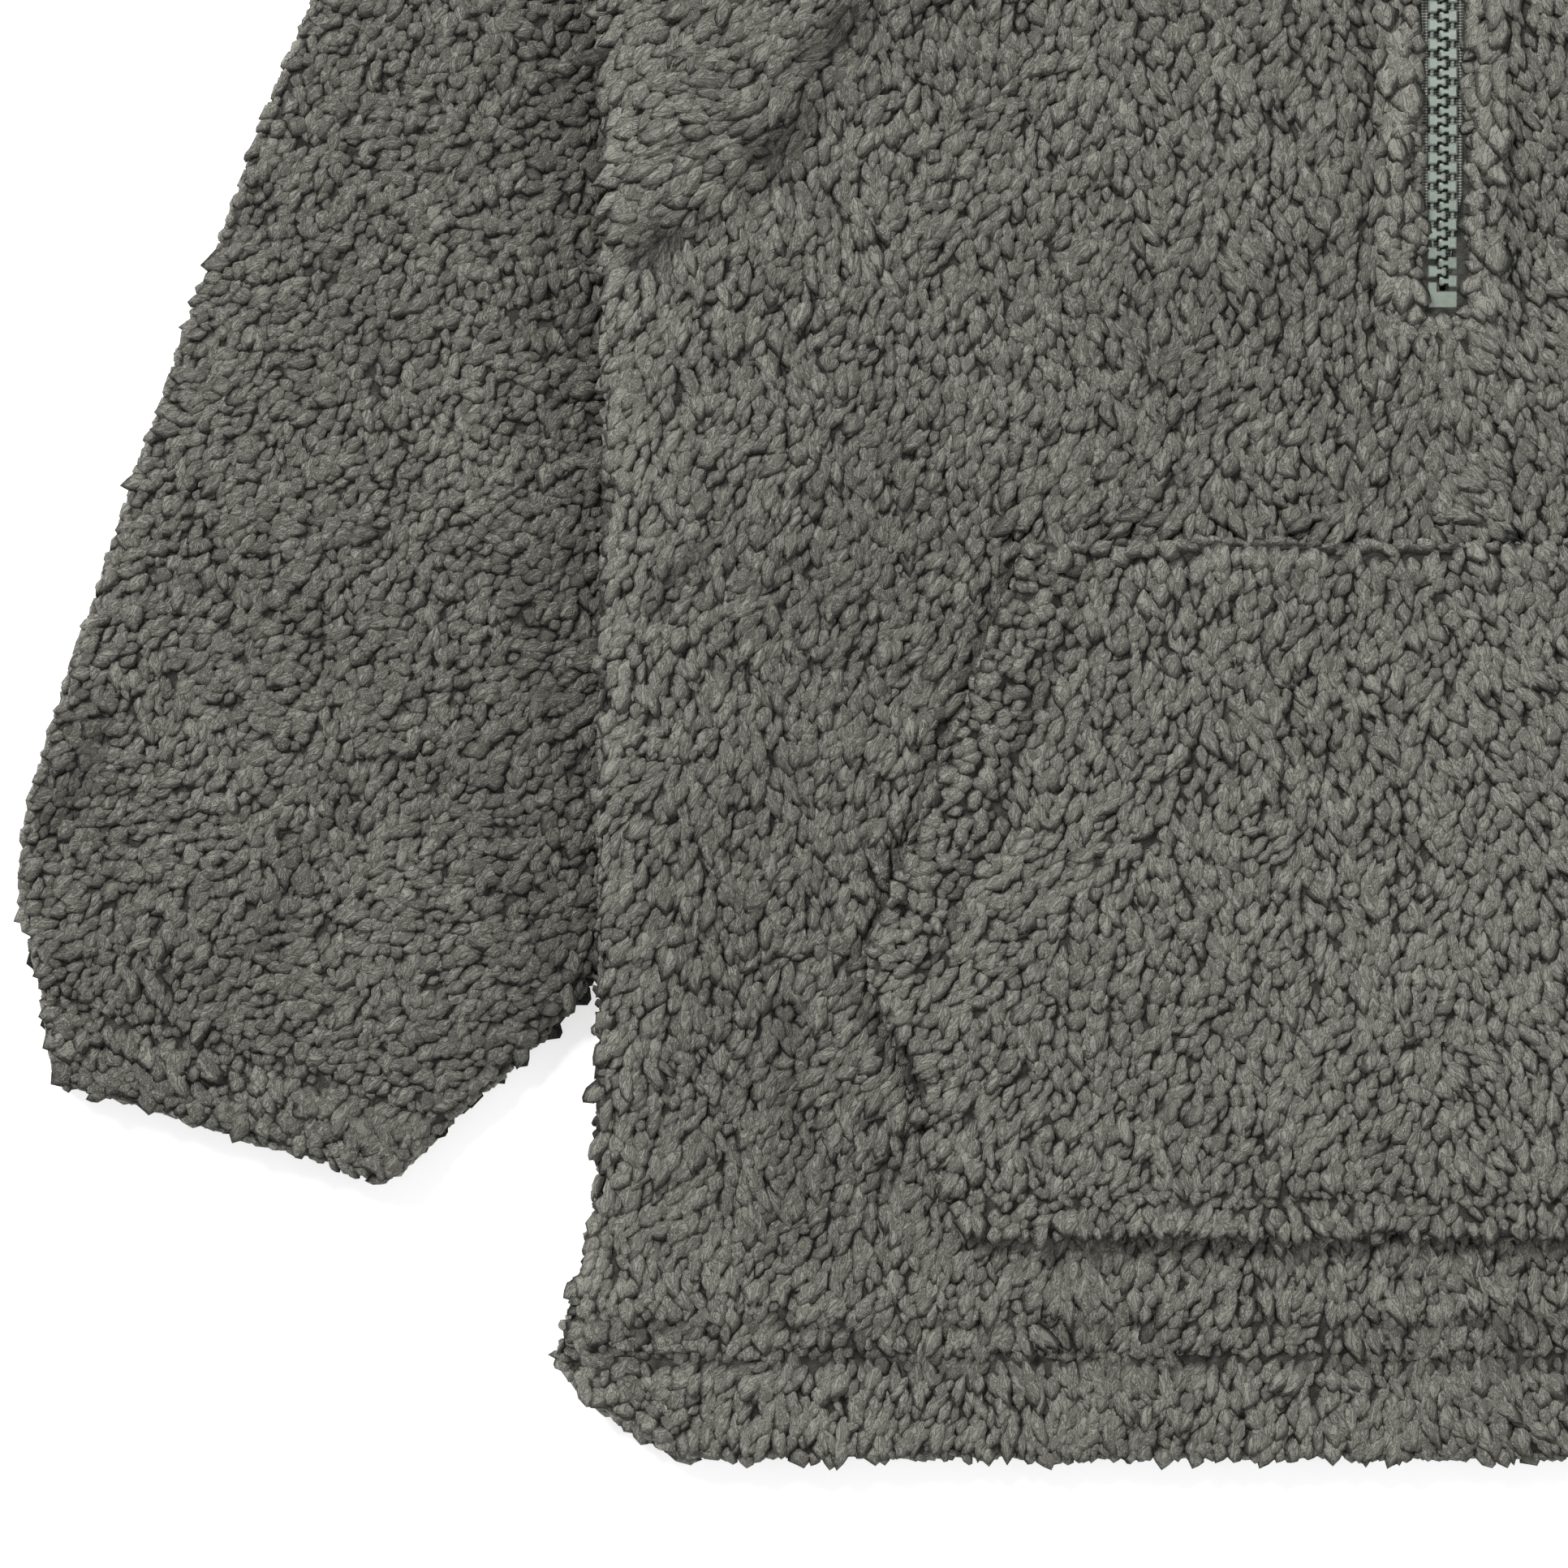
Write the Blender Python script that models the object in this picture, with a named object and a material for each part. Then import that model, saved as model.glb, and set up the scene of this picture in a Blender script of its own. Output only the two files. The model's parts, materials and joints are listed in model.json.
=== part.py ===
"""A half-zip pullover in deep pile fleece, laid flat on its back with its sleeves down beside it.

Plan sizes are in millimetres: x across the garment from its middle line, height up from the hem.
The front and back lie on each other, and the sides of the body lie over the inner folds of the
sleeves. Every cloth piece is a wall, lofted from rows and columns that its sizes give.
"""

import math

import bmesh
import bpy
import numpy as np
from mathutils import Matrix

MM = 0.001

# Driving sizes
WALL = 6.0
SLACK = 1.5
SEAM = 0.3
LENGTH = 750.0
NECK_HALF = 98.0
NECK_POINT = 685.0
FRONT_NECK = 632.0
BACK_NECK = 672.0
SHOULDER_END = 628.0
REFERENCE_HALF = 258.5
SQUARE_TO = 570.0
HEM_DEPTH = 31.5
HEM_GROOVE = 2.4
SLIT_HALF = 6.7
SLIT_BOTTOM = 352.0
PLACKET_HALF = 21.0
PLACKET_FOOT = 347.5
PLACKET_GROOVE = 2.2
ZIP_ROOM_HALF = 24.5
COLLAR_FRONT_TOP = 704.0
COLLAR_SIDE_TOP = 748.0

# Zip: tapes, stop, slider and pull
TAPE_HALF = 16.5
TAPE_FOOT = 341.0
TAPE_TOP = 703.0
TAPE_THICK = 0.9
TAPE_Z = 9.4
TAPE_INNER = 0.6
TAPE_PARTED = 2.6
TAPE_BESIDE_STOP = 4.95
STOP_HALF = 4.6
STOP_FOOT = 355.1
STOP_STEP = 360.4
STOP_TOP = 363.3
STOP_STEP_AT = -1.6
STOP_LOW, STOP_HIGH = 8.15, 11.55
SLIDER_AT = 691.0
SLIDER_WIDTH, SLIDER_LENGTH = 12.4, 17.0
SLIDER_PLATES = ((7.2, 1.4), (12.55, 1.5))
SLIDER_POST = (3.0, 5.0)
SLIDER_POST_AT = 5.4
SUNK = 0.25
BRIDGE_WIDTH = 2.8
BRIDGE_SPAN = 10.4
BRIDGE_LEG = 1.5
BRIDGE_LEVEL = 16.75
BRIDGE_THICK = 1.3
PULL_WIDTH, PULL_LENGTH, PULL_THICK = 8.0, 32.0, 1.7
PULL_LEVEL = 14.6
PULL_BAR = 0.9
PULL_WINDOW = (4.4, 9.2)
PULL_WINDOW_AT = -5.6

REACH = WALL + SLACK / 2
FLEECE = (0.125, 0.122, 0.105)
PLASTIC = (0.16, 0.20, 0.165)
TAPE_GREEN = (0.10, 0.11, 0.095)

# Body outline: height, half width
SIDE = (
    (0.0, 235.0),
    (10.0, 255.0),
    (20.0, 268.0),
    (30.0, 275.0),
    (40.0, 273.0),
    (60.0, 266.0),
    (80.0, 261.0),
    (120.0, 262.5),
    (150.0, 260.5),
    (250.0, 261.0),
    (300.0, 258.5),
    (450.0, 258.5),
    (628.0, 270.0),
)

# Where the sleeve's inner fold lies under the body: height, distance from the middle line
TUCK = (
    (120.0, 285.0),
    (142.0, 263.0),
    (180.0, 245.0),
    (240.0, 225.0),
    (300.0, 212.0),
    (360.0, 203.0),
    (410.0, 200.0),
)
TUCK_SLOPE = 98.0
TUCK_LIFT = 12.8

# Kangaroo pocket outline: height, half width
POCKET_SIDE = (
    (70.0, 143.0),
    (80.0, 152.0),
    (95.0, 158.0),
    (119.0, 162.0),
    (151.0, 179.0),
    (283.0, 128.0),
)
POCKET_FOOT, POCKET_MOUTH_FOOT, POCKET_TOP = 70.0, 151.0, 283.0
POCKET_WALL = 4.6
POCKET_GAP = 0.8
POCKET_FOOT_STITCH = 79.0
POCKET_TOP_STITCH = 273.0
POCKET_ROWS = (
    POCKET_FOOT_STITCH, 84.0, 97.0, 119.0, 136.0, POCKET_MOUTH_FOOT, 170.0, 190.0, 210.0, 230.0, 250.0,
    266.0, POCKET_TOP_STITCH,
)  # fmt: skip
MOUTH_STITCH = 0.865
MOUTH_RISE = 1.6
POCKET_ACROSS = (0.0, 0.2, 0.4, 0.58, 0.72, 0.81, MOUTH_STITCH, 0.92, 0.985)

# Soft folds of the front: x, height at each end, half width of the trough, rise
FRONT_FOLDS = (
    (-150.0, 512.0, -179.0, 450.0, 13.0, -3.0),
    (-179.0, 450.0, -206.0, 399.0, 12.0, -4.5),
    (-206.0, 399.0, -246.0, 372.0, 12.0, -4.0),
    (-196.0, 462.0, -232.0, 400.0, 17.0, 2.6),
    (-230.0, 290.0, -247.0, 264.0, 12.0, -2.0),
    (-201.0, 140.0, -203.0, 78.0, 14.0, -1.8),
    (148.0, 505.0, 184.0, 446.0, 14.0, -3.4),
    (184.0, 446.0, 243.0, 378.0, 12.0, -4.0),
    (200.0, 462.0, 236.0, 402.0, 17.0, 2.4),
    (226.0, 268.0, 246.0, 236.0, 13.0, -2.0),
    (206.0, 132.0, 200.0, 70.0, 15.0, -1.6),
)

# Sleeve: distance up from the cuff, then x and height of its outer and of its inner fold
SLEEVE = (
    (0.0, 430.0, 117.0, 324.0, 84.5),
    (24.0, 433.0, 141.0, 307.0, 101.5),
    (52.0, 441.0, 170.0, 283.0, 122.0),
    (75.0, 441.0, 192.0, 263.0, 142.0),
    (115.0, 430.0, 230.0, 245.0, 180.0),
    (175.0, 410.0, 290.0, 225.0, 240.0),
    (235.0, 389.0, 350.0, 212.0, 300.0),
    (295.0, 367.0, 410.0, 203.0, 360.0),
    (350.0, 345.0, 468.0, 200.0, 402.0),
    (400.0, 316.0, 532.0, 202.0, 424.0),
    (450.0, 272.7, 628.0, 207.0, 436.0),
)
SLEEVE_STATIONS = (12, 20.5, 24, 27.5, 52, 75, 95, 115, 145, 175, 205, 235, 265, 295, 350, 400, 430, 450)
SLEEVE_ACROSS = (0.0, 0.14, 0.28, 0.42, 0.56, 0.7, 0.85, 1.0)
SLEEVE_END_LEAVES = 515.0
SLEEVE_WALL = 5.5
SLEEVE_SLACK = 1.0
CUFF_DEPTH = 24.0

# Soft folds of a sleeve, as for the front, with x as a distance from the middle line
SLEEVE_FOLDS = (
    (406.0, 236.0, 428.0, 196.0, 10.0, -2.2),
    (362.0, 157.0, 338.0, 208.0, 12.0, -2.4),
    (300.0, 330.0, 352.0, 372.0, 14.0, -1.6),
    (380.0, 188.0, 372.0, 268.0, 22.0, 1.5),
)

FRONT_COLUMNS = (
    SLIT_HALF, 9.5, 17.5, PLACKET_HALF, 24.5, 48.0, 70.0, NECK_HALF - REACH, NECK_HALF,
    118.0, 140.0, 162.0, 184.0, 206.0, 228.0, 243.0,
)  # fmt: skip
BACK_COLUMNS = (48.0, NECK_HALF - REACH, NECK_HALF, 118.0, 151.0, 184.0, 206.0, 228.0, 243.0)
SQUARE_ROWS = (
    14, 27, HEM_DEPTH, 36, 52, 75, 100, 130, 160, 190, 220, 250, 280, 310, 333, 343, 347.5,
    SLIT_BOTTOM, 366, 385, 405, 425, 450, 485, 525, SQUARE_TO,
)  # fmt: skip
TOP_ROWS = (0.35, 0.7)
TURNS = (0.0, 35.0, 65.0, 90.0)
EDGE_TURNS = (70.0, 40.0, 0.0)


def smooth(share):
    share = np.clip(share, 0.0, 1.0)
    return share * share * (3.0 - 2.0 * share)


def between(table, at, column=1):
    return np.interp(at, [row[0] for row in table], [row[column] for row in table])


def fold_relief(folds, x, height):
    """The rise of soft ridges and troughs that run along straight lines and fade at their ends."""
    total = np.zeros_like(x)
    for x0, h0, x1, h1, width, rise in folds:
        along = np.array((x1 - x0, h1 - h0))
        length = np.hypot(*along)
        along = along / length
        reach = (x - x0) * along[0] + (height - h0) * along[1]
        away = (x - x0) * along[1] - (height - h0) * along[0]
        past = np.maximum(0.0, np.maximum(-reach, reach - length))
        total += rise * np.exp(-(away**2 + past**2) / width**2)
    return total


def tuck_lift(x, height):
    """How far the body rises over the sleeve that lies under its side."""
    fold = between(TUCK, height)
    across = smooth((np.abs(x) - fold + 2.0 + TUCK_SLOPE) / TUCK_SLOPE)
    ends = smooth((height - 70.0) / 65.0) * smooth((610.0 - height) / 88.0)
    return TUCK_LIFT * across * ends


def groove(distance, half, depth):
    return -depth * np.clip(1.0 - np.abs(distance) / half, 0.0, 1.0)


def front_relief(x, height):
    away = np.abs(x)
    side = between(SIDE, height)
    zip_part = smooth((height - PLACKET_FOOT + 7.5) / 7.0)
    placket = zip_part * smooth((PLACKET_HALF - away) / 3.0)
    lines = zip_part * groove(away - PLACKET_HALF, 3.4, PLACKET_GROOVE)
    across = smooth((PLACKET_HALF + 1.0 - away) / 2.0)
    lines = lines + across * groove(height - PLACKET_FOOT, 4.4, PLACKET_GROOVE)
    lip = -1.8 * smooth((SLIT_HALF + 2.8 - away) / 2.8) * smooth((height - SLIT_BOTTOM + 1.0) / 2.0)
    hem = 1.2 * smooth((29.0 - height) / 3.0) + groove(height - HEM_DEPTH, 4.4, HEM_GROOVE)
    under = smooth((between(POCKET_SIDE, height) - away) / 20.0)
    under = under * smooth((height - POCKET_FOOT) / 14.0) * smooth((POCKET_TOP - height) / 14.0)
    swell = 1.2 * smooth((side - away - 5.0) / 8.0) * smooth((away - side + 45.0) / 30.0)
    return placket + lines + lip + hem - 2.0 * under + swell + fold_relief(FRONT_FOLDS, x, height)


def back_relief(x, height):
    return groove(height - HEM_DEPTH, 4.4, 1.6) + 0.0 * x


def zip_room(x, height):
    """How far the inside is hollowed over the zip tapes."""
    room = TAPE_Z + TAPE_THICK + SEAM - (REACH + SLACK / 2)
    return room * smooth((ZIP_ROOM_HALF - np.abs(x)) / 7.0) * smooth((height - 320.0) / 13.0)


def no_room(x, height):
    return 0.0 * x


def neck_height(x, middle, columns):
    """The neckline, straight between the columns so that panel and collar match along it."""
    known = np.array(sorted({0.0, *columns}))
    curve = middle + (NECK_POINT - middle) * np.minimum(known / NECK_HALF, 1.0) ** 2
    return np.interp(np.abs(x), known, curve)


def edge_rows(half_wall):
    """Rows that round off a free edge: how far in from it, and the half wall left there."""
    turns = [math.radians(turn) for turn in EDGE_TURNS]
    inset = [half_wall * (math.sin(turns[0]) - math.sin(turn)) for turn in turns]
    return [(step, half_wall * math.cos(turn)) for step, turn in zip(inset, turns)]


def body_panel(columns, neck, layer, relief, room):
    """Outer and inner points of the front (layer 1) or the back (layer -1), hem row first."""
    sides = [(x, 0.0) for x in columns] + [(REFERENCE_HALF, math.radians(turn)) for turn in TURNS]
    across = [(-x, turn) for x, turn in reversed(sides)]
    across += [(0.0, 0.0)] if SLIT_HALF not in columns else []
    across += sides
    rows = [(step, half, 0.0, 0.0) for step, half in edge_rows(WALL / 2)]
    rows += [(float(height), WALL / 2, 0.0, 0.0) for height in SQUARE_ROWS]
    rows += [(SQUARE_TO, WALL / 2, share, 0.0) for share in TOP_ROWS]
    rows += [(SQUARE_TO, WALL / 2, 1.0, math.radians(turn)) for turn in TURNS]
    reach = np.array([abs(x) for x, _ in across])
    sign = np.array([math.copysign(1.0, x) for x, _ in across])
    turn = np.array([turn for _, turn in across])
    spread = np.clip((reach - NECK_HALF) / (REFERENCE_HALF - NECK_HALF), 0.0, 1.0)
    shoulder = NECK_POINT + (SHOULDER_END - NECK_POINT) * spread
    top = np.where(reach <= NECK_HALF, neck_height(reach, neck, columns), shoulder)
    closed = smooth((reach - NECK_HALF) / 20.0)
    outer, inner = [], []
    middle = (WALL + SLACK) / 2
    for height, half, share, roll in rows:
        level = height + (top - REACH - height) * share
        width = between(SIDE, height + (SHOULDER_END - height) * share)
        base = sign * (reach + (width - REFERENCE_HALF) * spread - REACH * (turn + spread >= 1.0))
        for points, radius in ((outer, middle + half), (inner, middle - half)):
            up = REACH * (1.0 - closed) + radius * closed
            x = base + sign * radius * np.sin(turn)
            y = level + up * math.sin(roll)
            drop = np.cos(turn) * (1.0 - closed * (1.0 - math.cos(roll)))
            swell = relief(x, y) if points is outer else room(x, y)
            z = REACH + tuck_lift(x, y) + layer * ((radius + swell) * drop + SEAM / 2 * (1.0 - drop))
            points.append(np.stack((x, y, z), axis=1))
    return np.array(outer), np.array(inner)


def pocket_panel(outer_front):
    """The kangaroo pocket, made from points on the front's outer side and moved out."""
    foot = [(POCKET_FOOT + step, half) for step, half in edge_rows(POCKET_WALL / 2)]
    head = [(POCKET_TOP - step, half) for step, half in edge_rows(POCKET_WALL / 2)]
    plain = [(height, POCKET_WALL / 2) for height in POCKET_ROWS]
    half_across = np.array(POCKET_ACROSS)
    shares = np.concatenate(([-1.0], -half_across[:0:-1], half_across, [1.0]))
    outer, inner = [], []
    for height, half in foot + plain + head[::-1]:
        width = between(POCKET_SIDE, height)
        mouth = smooth((height - POCKET_MOUTH_FOOT + 6.0) / 12.0) * smooth((POCKET_TOP - height) / 12.0)
        x = shares * width
        away = np.abs(x)
        rim = np.where(np.abs(shares) >= 1.0, math.cos(math.radians(70.0)), 1.0)
        bed = bed_height(outer_front, x, height) + POCKET_GAP
        bed = bed + MOUTH_RISE * mouth * smooth((away - width + 16.0) / 14.0)
        stitch = groove(height - POCKET_FOOT_STITCH, 4.6, 1.6) + groove(height - POCKET_TOP_STITCH, 6.0, 1.4)
        stitch = stitch + mouth * groove(np.abs(shares) - MOUTH_STITCH, 0.05, 1.8)
        plump = 0.9 * smooth((away - width + 18.0) / 9.0) * mouth + 1.2 * smooth((width - away) / 60.0)
        middle = bed + POCKET_WALL / 2
        outer.append(np.stack((x, 0 * x + height, middle + (half + plump + stitch) * rim), axis=1))
        inner.append(np.stack((x, 0 * x + height, middle - half * rim), axis=1))
    return np.array(outer), np.array(inner)


def bed_height(grid, x, height):
    """The height of a panel's outer side at a place, read between its own rows and columns."""
    rows = grid[:, grid.shape[1] // 2, 1]
    above = int(np.clip(np.searchsorted(rows, height), 1, len(rows) - 1))
    low, high = (np.interp(x, grid[row, :, 0], grid[row, :, 2]) for row in (above - 1, above))
    share = (height - rows[above - 1]) / (rows[above] - rows[above - 1])
    return low + (high - low) * share


def sleeve_end(share):
    """The armhole end: down the body's edge, then in under the body's side."""
    drop = np.array((0.0, 0.3, 0.62, 0.8, 1.0))
    height = np.array((SHOULDER_END, 580.0, SLEEVE_END_LEAVES, 470.0, 436.0))
    x = np.append(between(SIDE, height[:3]) + SEAM * np.array((9.0, 6.0, 3.0)), (236.0, 207.0))
    return np.interp(share, drop, x), np.interp(share, drop, height)


def sleeve_tube():
    """Outer and inner rings of a sleeve from the cuff up, the upper layer first in each ring."""
    radius = SLEEVE_WALL + SLEEVE_SLACK / 2
    middle = (SLEEVE_WALL + SLEEVE_SLACK) / 2
    rows = [(step, half) for step, half in edge_rows(SLEEVE_WALL / 2)]
    rows += [(float(station), SLEEVE_WALL / 2) for station in SLEEVE_STATIONS]
    ring = [(share, 0.0, 0.0) for share in SLEEVE_ACROSS]
    ring += [(1.0, math.radians(turn), 1.0) for turn in (35.0, 90.0, 145.0)]
    ring += [(share, math.pi, 0.0) for share in reversed(SLEEVE_ACROSS)]
    ring += [(0.0, math.radians(turn), -1.0) for turn in (145.0, 90.0, 35.0)]
    share, turn, out = (np.array(column) for column in zip(*ring))
    outer, inner = [], []
    for station, half in rows:
        head, tail = (
            np.array([between(SLEEVE, station, column) for column in pair]) for pair in ((1, 2), (3, 4))
        )
        run = (tail - head) / np.hypot(*(tail - head))
        start, stop = head + run * radius, tail - run * radius
        line = start + (stop - start) * share[:, None]
        straight = head + (tail - head) * share[:, None]
        bend = smooth((station - 330.0) / 120.0)
        line = line + bend * (np.stack(sleeve_end(share), axis=1) - straight)
        hem = 1.0 * smooth((station - 0.5) / 3.0) * smooth((CUFF_DEPTH - station - 1.0) / 3.0)
        seam = groove(station - CUFF_DEPTH, 3.4, 1.8) - 0.8 * smooth((station - 440.0) / 10.0)
        for points, size in ((outer, middle + half), (inner, middle - half)):
            plan = line + run * (size * out * np.sin(turn))[:, None]
            x, height = plan[:, 0], plan[:, 1]
            clear = smooth((x - between(SIDE, height) - 8.0) / 42.0) * smooth((500.0 - height) / 90.0)
            upper = np.clip(np.cos(turn), 0.0, 1.0)
            size = size + (seam if points is outer else 0.0)
            z = radius + size * np.cos(turn) + 3.0 * clear * upper
            if points is outer:
                z = z + upper * (hem + clear * fold_relief(SLEEVE_FOLDS, x, height))
            points.append(np.stack((x, height, z), axis=1))
    return np.array(outer), np.array(inner)


def collar_strip():
    """The stand collar from one side of the zip round the back to the other, neckline row first."""
    front = [(x, 0.0) for x in FRONT_COLUMNS if x <= NECK_HALF - REACH]
    fold = [(NECK_HALF, math.radians(turn)) for turn in (30.0, 60.0, 90.0, 120.0, 150.0)]
    back = [(NECK_HALF - REACH, math.pi), (48.0, math.pi)]
    half = front + fold + back
    strip = [(-x, turn) for x, turn in half] + [(0.0, math.pi)] + half[::-1]
    reach = np.array([abs(x) for x, _ in strip])
    sign = np.array([math.copysign(1.0, x) for x, _ in strip])
    turn = np.array([turn for _, turn in strip])
    rows = [(0.0, WALL / 2, 0.0), (0.06, WALL / 2, 0.0), (0.3, WALL / 2, 0.0), (0.62, WALL / 2, 0.0)]
    rows += [(1.0, half_wall, step) for step, half_wall in edge_rows(WALL / 2)[::-1]]
    outer, inner = [], []
    middle = (WALL + SLACK) / 2
    folded = (turn > 0.0) & (turn < math.pi)
    for share, half_wall, step in rows:
        for points, radius in ((outer, middle + half_wall), (inner, middle - half_wall)):
            away = np.where(folded, NECK_HALF - REACH + radius * np.sin(turn), reach)
            behind = turn > math.pi / 2
            foot = np.where(
                behind,
                neck_height(away, BACK_NECK, BACK_COLUMNS),
                neck_height(away, FRONT_NECK, FRONT_COLUMNS),
            )
            bow = (away / NECK_HALF) ** 2
            middle_top = np.where(behind, LENGTH, COLLAR_FRONT_TOP)
            top = middle_top + (COLLAR_SIDE_TOP - middle_top) * bow
            y = foot + 2 * SEAM + (top - foot - 2 * SEAM) * share - step
            x = sign * (away - 0.05 * share * np.maximum(away - ZIP_ROOM_HALF, 0.0))
            z = REACH + radius * np.cos(turn)
            facing = np.clip(np.cos(turn), 0.0, 1.0)
            if points is outer:
                lines = groove(away - PLACKET_HALF, 3.4, 2.0) - 1.8 * smooth((SLIT_HALF + 2.8 - away) / 2.8)
                z = z + facing * (smooth((PLACKET_HALF - away) / 3.0) + lines + groove(share, 0.05, 1.2))
            else:
                z = z + facing * zip_room(away, y)
            points.append(np.stack((x, y, z), axis=1))
    return np.array(outer), np.array(inner)


def tape_strip():
    """One zip tape: set back beside the bottom stop, and parted again inside the slider."""
    above_stop = STOP_TOP + SEAM
    parts = SLIDER_AT - 3.0
    rows = (
        (TAPE_FOOT, TAPE_BESIDE_STOP),
        (above_stop, TAPE_BESIDE_STOP),
        (above_stop + 1.0, TAPE_INNER),
        (parts, TAPE_INNER),
        (parts + 5.0, TAPE_PARTED),
        (TAPE_TOP, TAPE_PARTED),
    )
    upper = np.array(
        [[(x, height, TAPE_Z + TAPE_THICK) for x in (inner, 8.0, TAPE_HALF)] for height, inner in rows]
    )
    lower = upper - np.array((0.0, 0.0, TAPE_THICK))
    return upper, lower


def material(name, colour, roughness):
    made = bpy.data.materials.new(name)
    made.use_nodes = True
    shader = made.node_tree.nodes["Principled BSDF"]
    shader.inputs["Base Color"].default_value = (*colour, 1.0)
    shader.inputs["Roughness"].default_value = roughness
    shader.inputs["Metallic"].default_value = 0.0
    return made


def add_object(name, mesh, colour, roughness, collection):
    bmesh.ops.recalc_face_normals(mesh, faces=mesh.faces)
    data = bpy.data.meshes.new(name)
    mesh.to_mesh(data)
    mesh.free()
    data.materials.append(material(name, colour, roughness))
    made = bpy.data.objects.new(name, data)
    collection.objects.link(made)
    return made


def add_wall(name, outer, inner, collection, colour=FLEECE, roughness=0.95, keep=None, ring=False):
    """One closed wall between two grids of plan points, joined round every free edge."""
    mesh = bmesh.new()
    shift = np.array((0.0, LENGTH / 2, 0.0))
    outside, inside = (
        [[mesh.verts.new((point - shift) * MM) for point in row] for row in grid] for grid in (outer, inner)
    )
    rows, columns = outer.shape[:2]
    free = {}
    for row in range(rows - 1):
        for column in range(columns if ring else columns - 1):
            if keep is not None and not keep[row, column]:
                continue
            after = (column + 1) % columns
            corners = ((row, column), (row, after), (row + 1, after), (row + 1, column))
            for side in (outside, inside):
                mesh.faces.new([side[r][c] for r, c in corners])
            for start, end in zip(corners, corners[1:] + corners[:1]):
                free[frozenset((start, end))] = (frozenset((start, end)) not in free) and (start, end)
    for edge in filter(None, free.values()):
        (a, b), (c, d) = edge
        mesh.faces.new((outside[a][b], outside[c][d], inside[c][d], inside[a][b]))
    bmesh.ops.delete(mesh, geom=[v for v in mesh.verts if not v.link_faces], context="VERTS")
    return add_object(name, mesh, colour, roughness, collection)


def box(size, centre, bevel=0.0):
    """A block in a new bmesh, in millimetres, with its upright and level edges rounded."""
    mesh = bmesh.new()
    bmesh.ops.create_cube(mesh, size=1.0)
    bmesh.ops.scale(mesh, vec=size, verts=mesh.verts)
    if bevel:
        bmesh.ops.bevel(mesh, geom=mesh.edges[:], offset=bevel, segments=2, affect="EDGES", profile=0.5)
    bmesh.ops.translate(mesh, vec=centre, verts=mesh.verts)
    bmesh.ops.scale(mesh, vec=(MM, MM, MM), verts=mesh.verts)
    return mesh


def joined(name, blocks, collection, cutters, colour, roughness, cut=()):
    """The first block with the others united to it and the cut ones taken away, as one body."""
    made = add_object(name, blocks[0], colour, roughness, collection)
    others = [(block, "UNION") for block in blocks[1:]] + [(block, "DIFFERENCE") for block in cut]
    for index, (block, operation) in enumerate(others):
        cutter = add_object(f"{name}_form_{index}", block, colour, roughness, cutters)
        cutter.hide_render = True
        cutter.display_type = "WIRE"
        step = made.modifiers.new(f"{operation.lower()}_{index}", "BOOLEAN")
        step.operation = operation
        step.object = cutter
    return made


def build_stop(collection, cutters):
    """The moulded bottom stop, stepped down on the side where the first tooth of its row sits."""
    middle = (STOP_LOW + STOP_HIGH) / 2
    thick = STOP_HIGH - STOP_LOW
    low = (2 * STOP_HALF, STOP_STEP - STOP_FOOT, thick)
    step = (STOP_STEP_AT + STOP_HALF, STOP_TOP - STOP_FOOT, thick)
    blocks = [
        box(low, (0, (STOP_FOOT + STOP_STEP - LENGTH) / 2, middle), 0.4),
        box(step, ((STOP_STEP_AT - STOP_HALF) / 2, (STOP_FOOT + STOP_TOP - LENGTH) / 2, middle), 0.4),
    ]
    return joined("zip_bottom_stop", blocks, collection, cutters, PLASTIC, 0.35)


def build_slider(collection, cutters):
    """Two plates and the post between them, with a lengthwise bridge over the pull's crossbar."""
    y = SLIDER_AT - LENGTH / 2
    (low, low_thick), (high, high_thick) = SLIDER_PLATES
    post = high - low - (low_thick + high_thick) / 2 + 2 * SUNK
    post_level = low + low_thick / 2 + post / 2 - SUNK
    leg = BRIDGE_LEVEL - high
    leg_level = (BRIDGE_LEVEL + high) / 2 + SUNK
    blocks = [
        box((SLIDER_WIDTH, SLIDER_LENGTH, high_thick), (0, y, high), 0.5),
        box((SLIDER_WIDTH, SLIDER_LENGTH, low_thick), (0, y, low), 0.5),
        box((*SLIDER_POST, post), (0, y + SLIDER_POST_AT, post_level)),
        box((BRIDGE_WIDTH, BRIDGE_LEG, leg), (0, y - BRIDGE_SPAN / 2, leg_level)),
        box((BRIDGE_WIDTH, BRIDGE_LEG, leg), (0, y + BRIDGE_SPAN / 2, leg_level)),
        box((BRIDGE_WIDTH, BRIDGE_SPAN + 2.2, BRIDGE_THICK), (0, y, BRIDGE_LEVEL), 0.4),
    ]
    return joined("zip_slider", blocks, collection, cutters, PLASTIC, 0.35)


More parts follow.
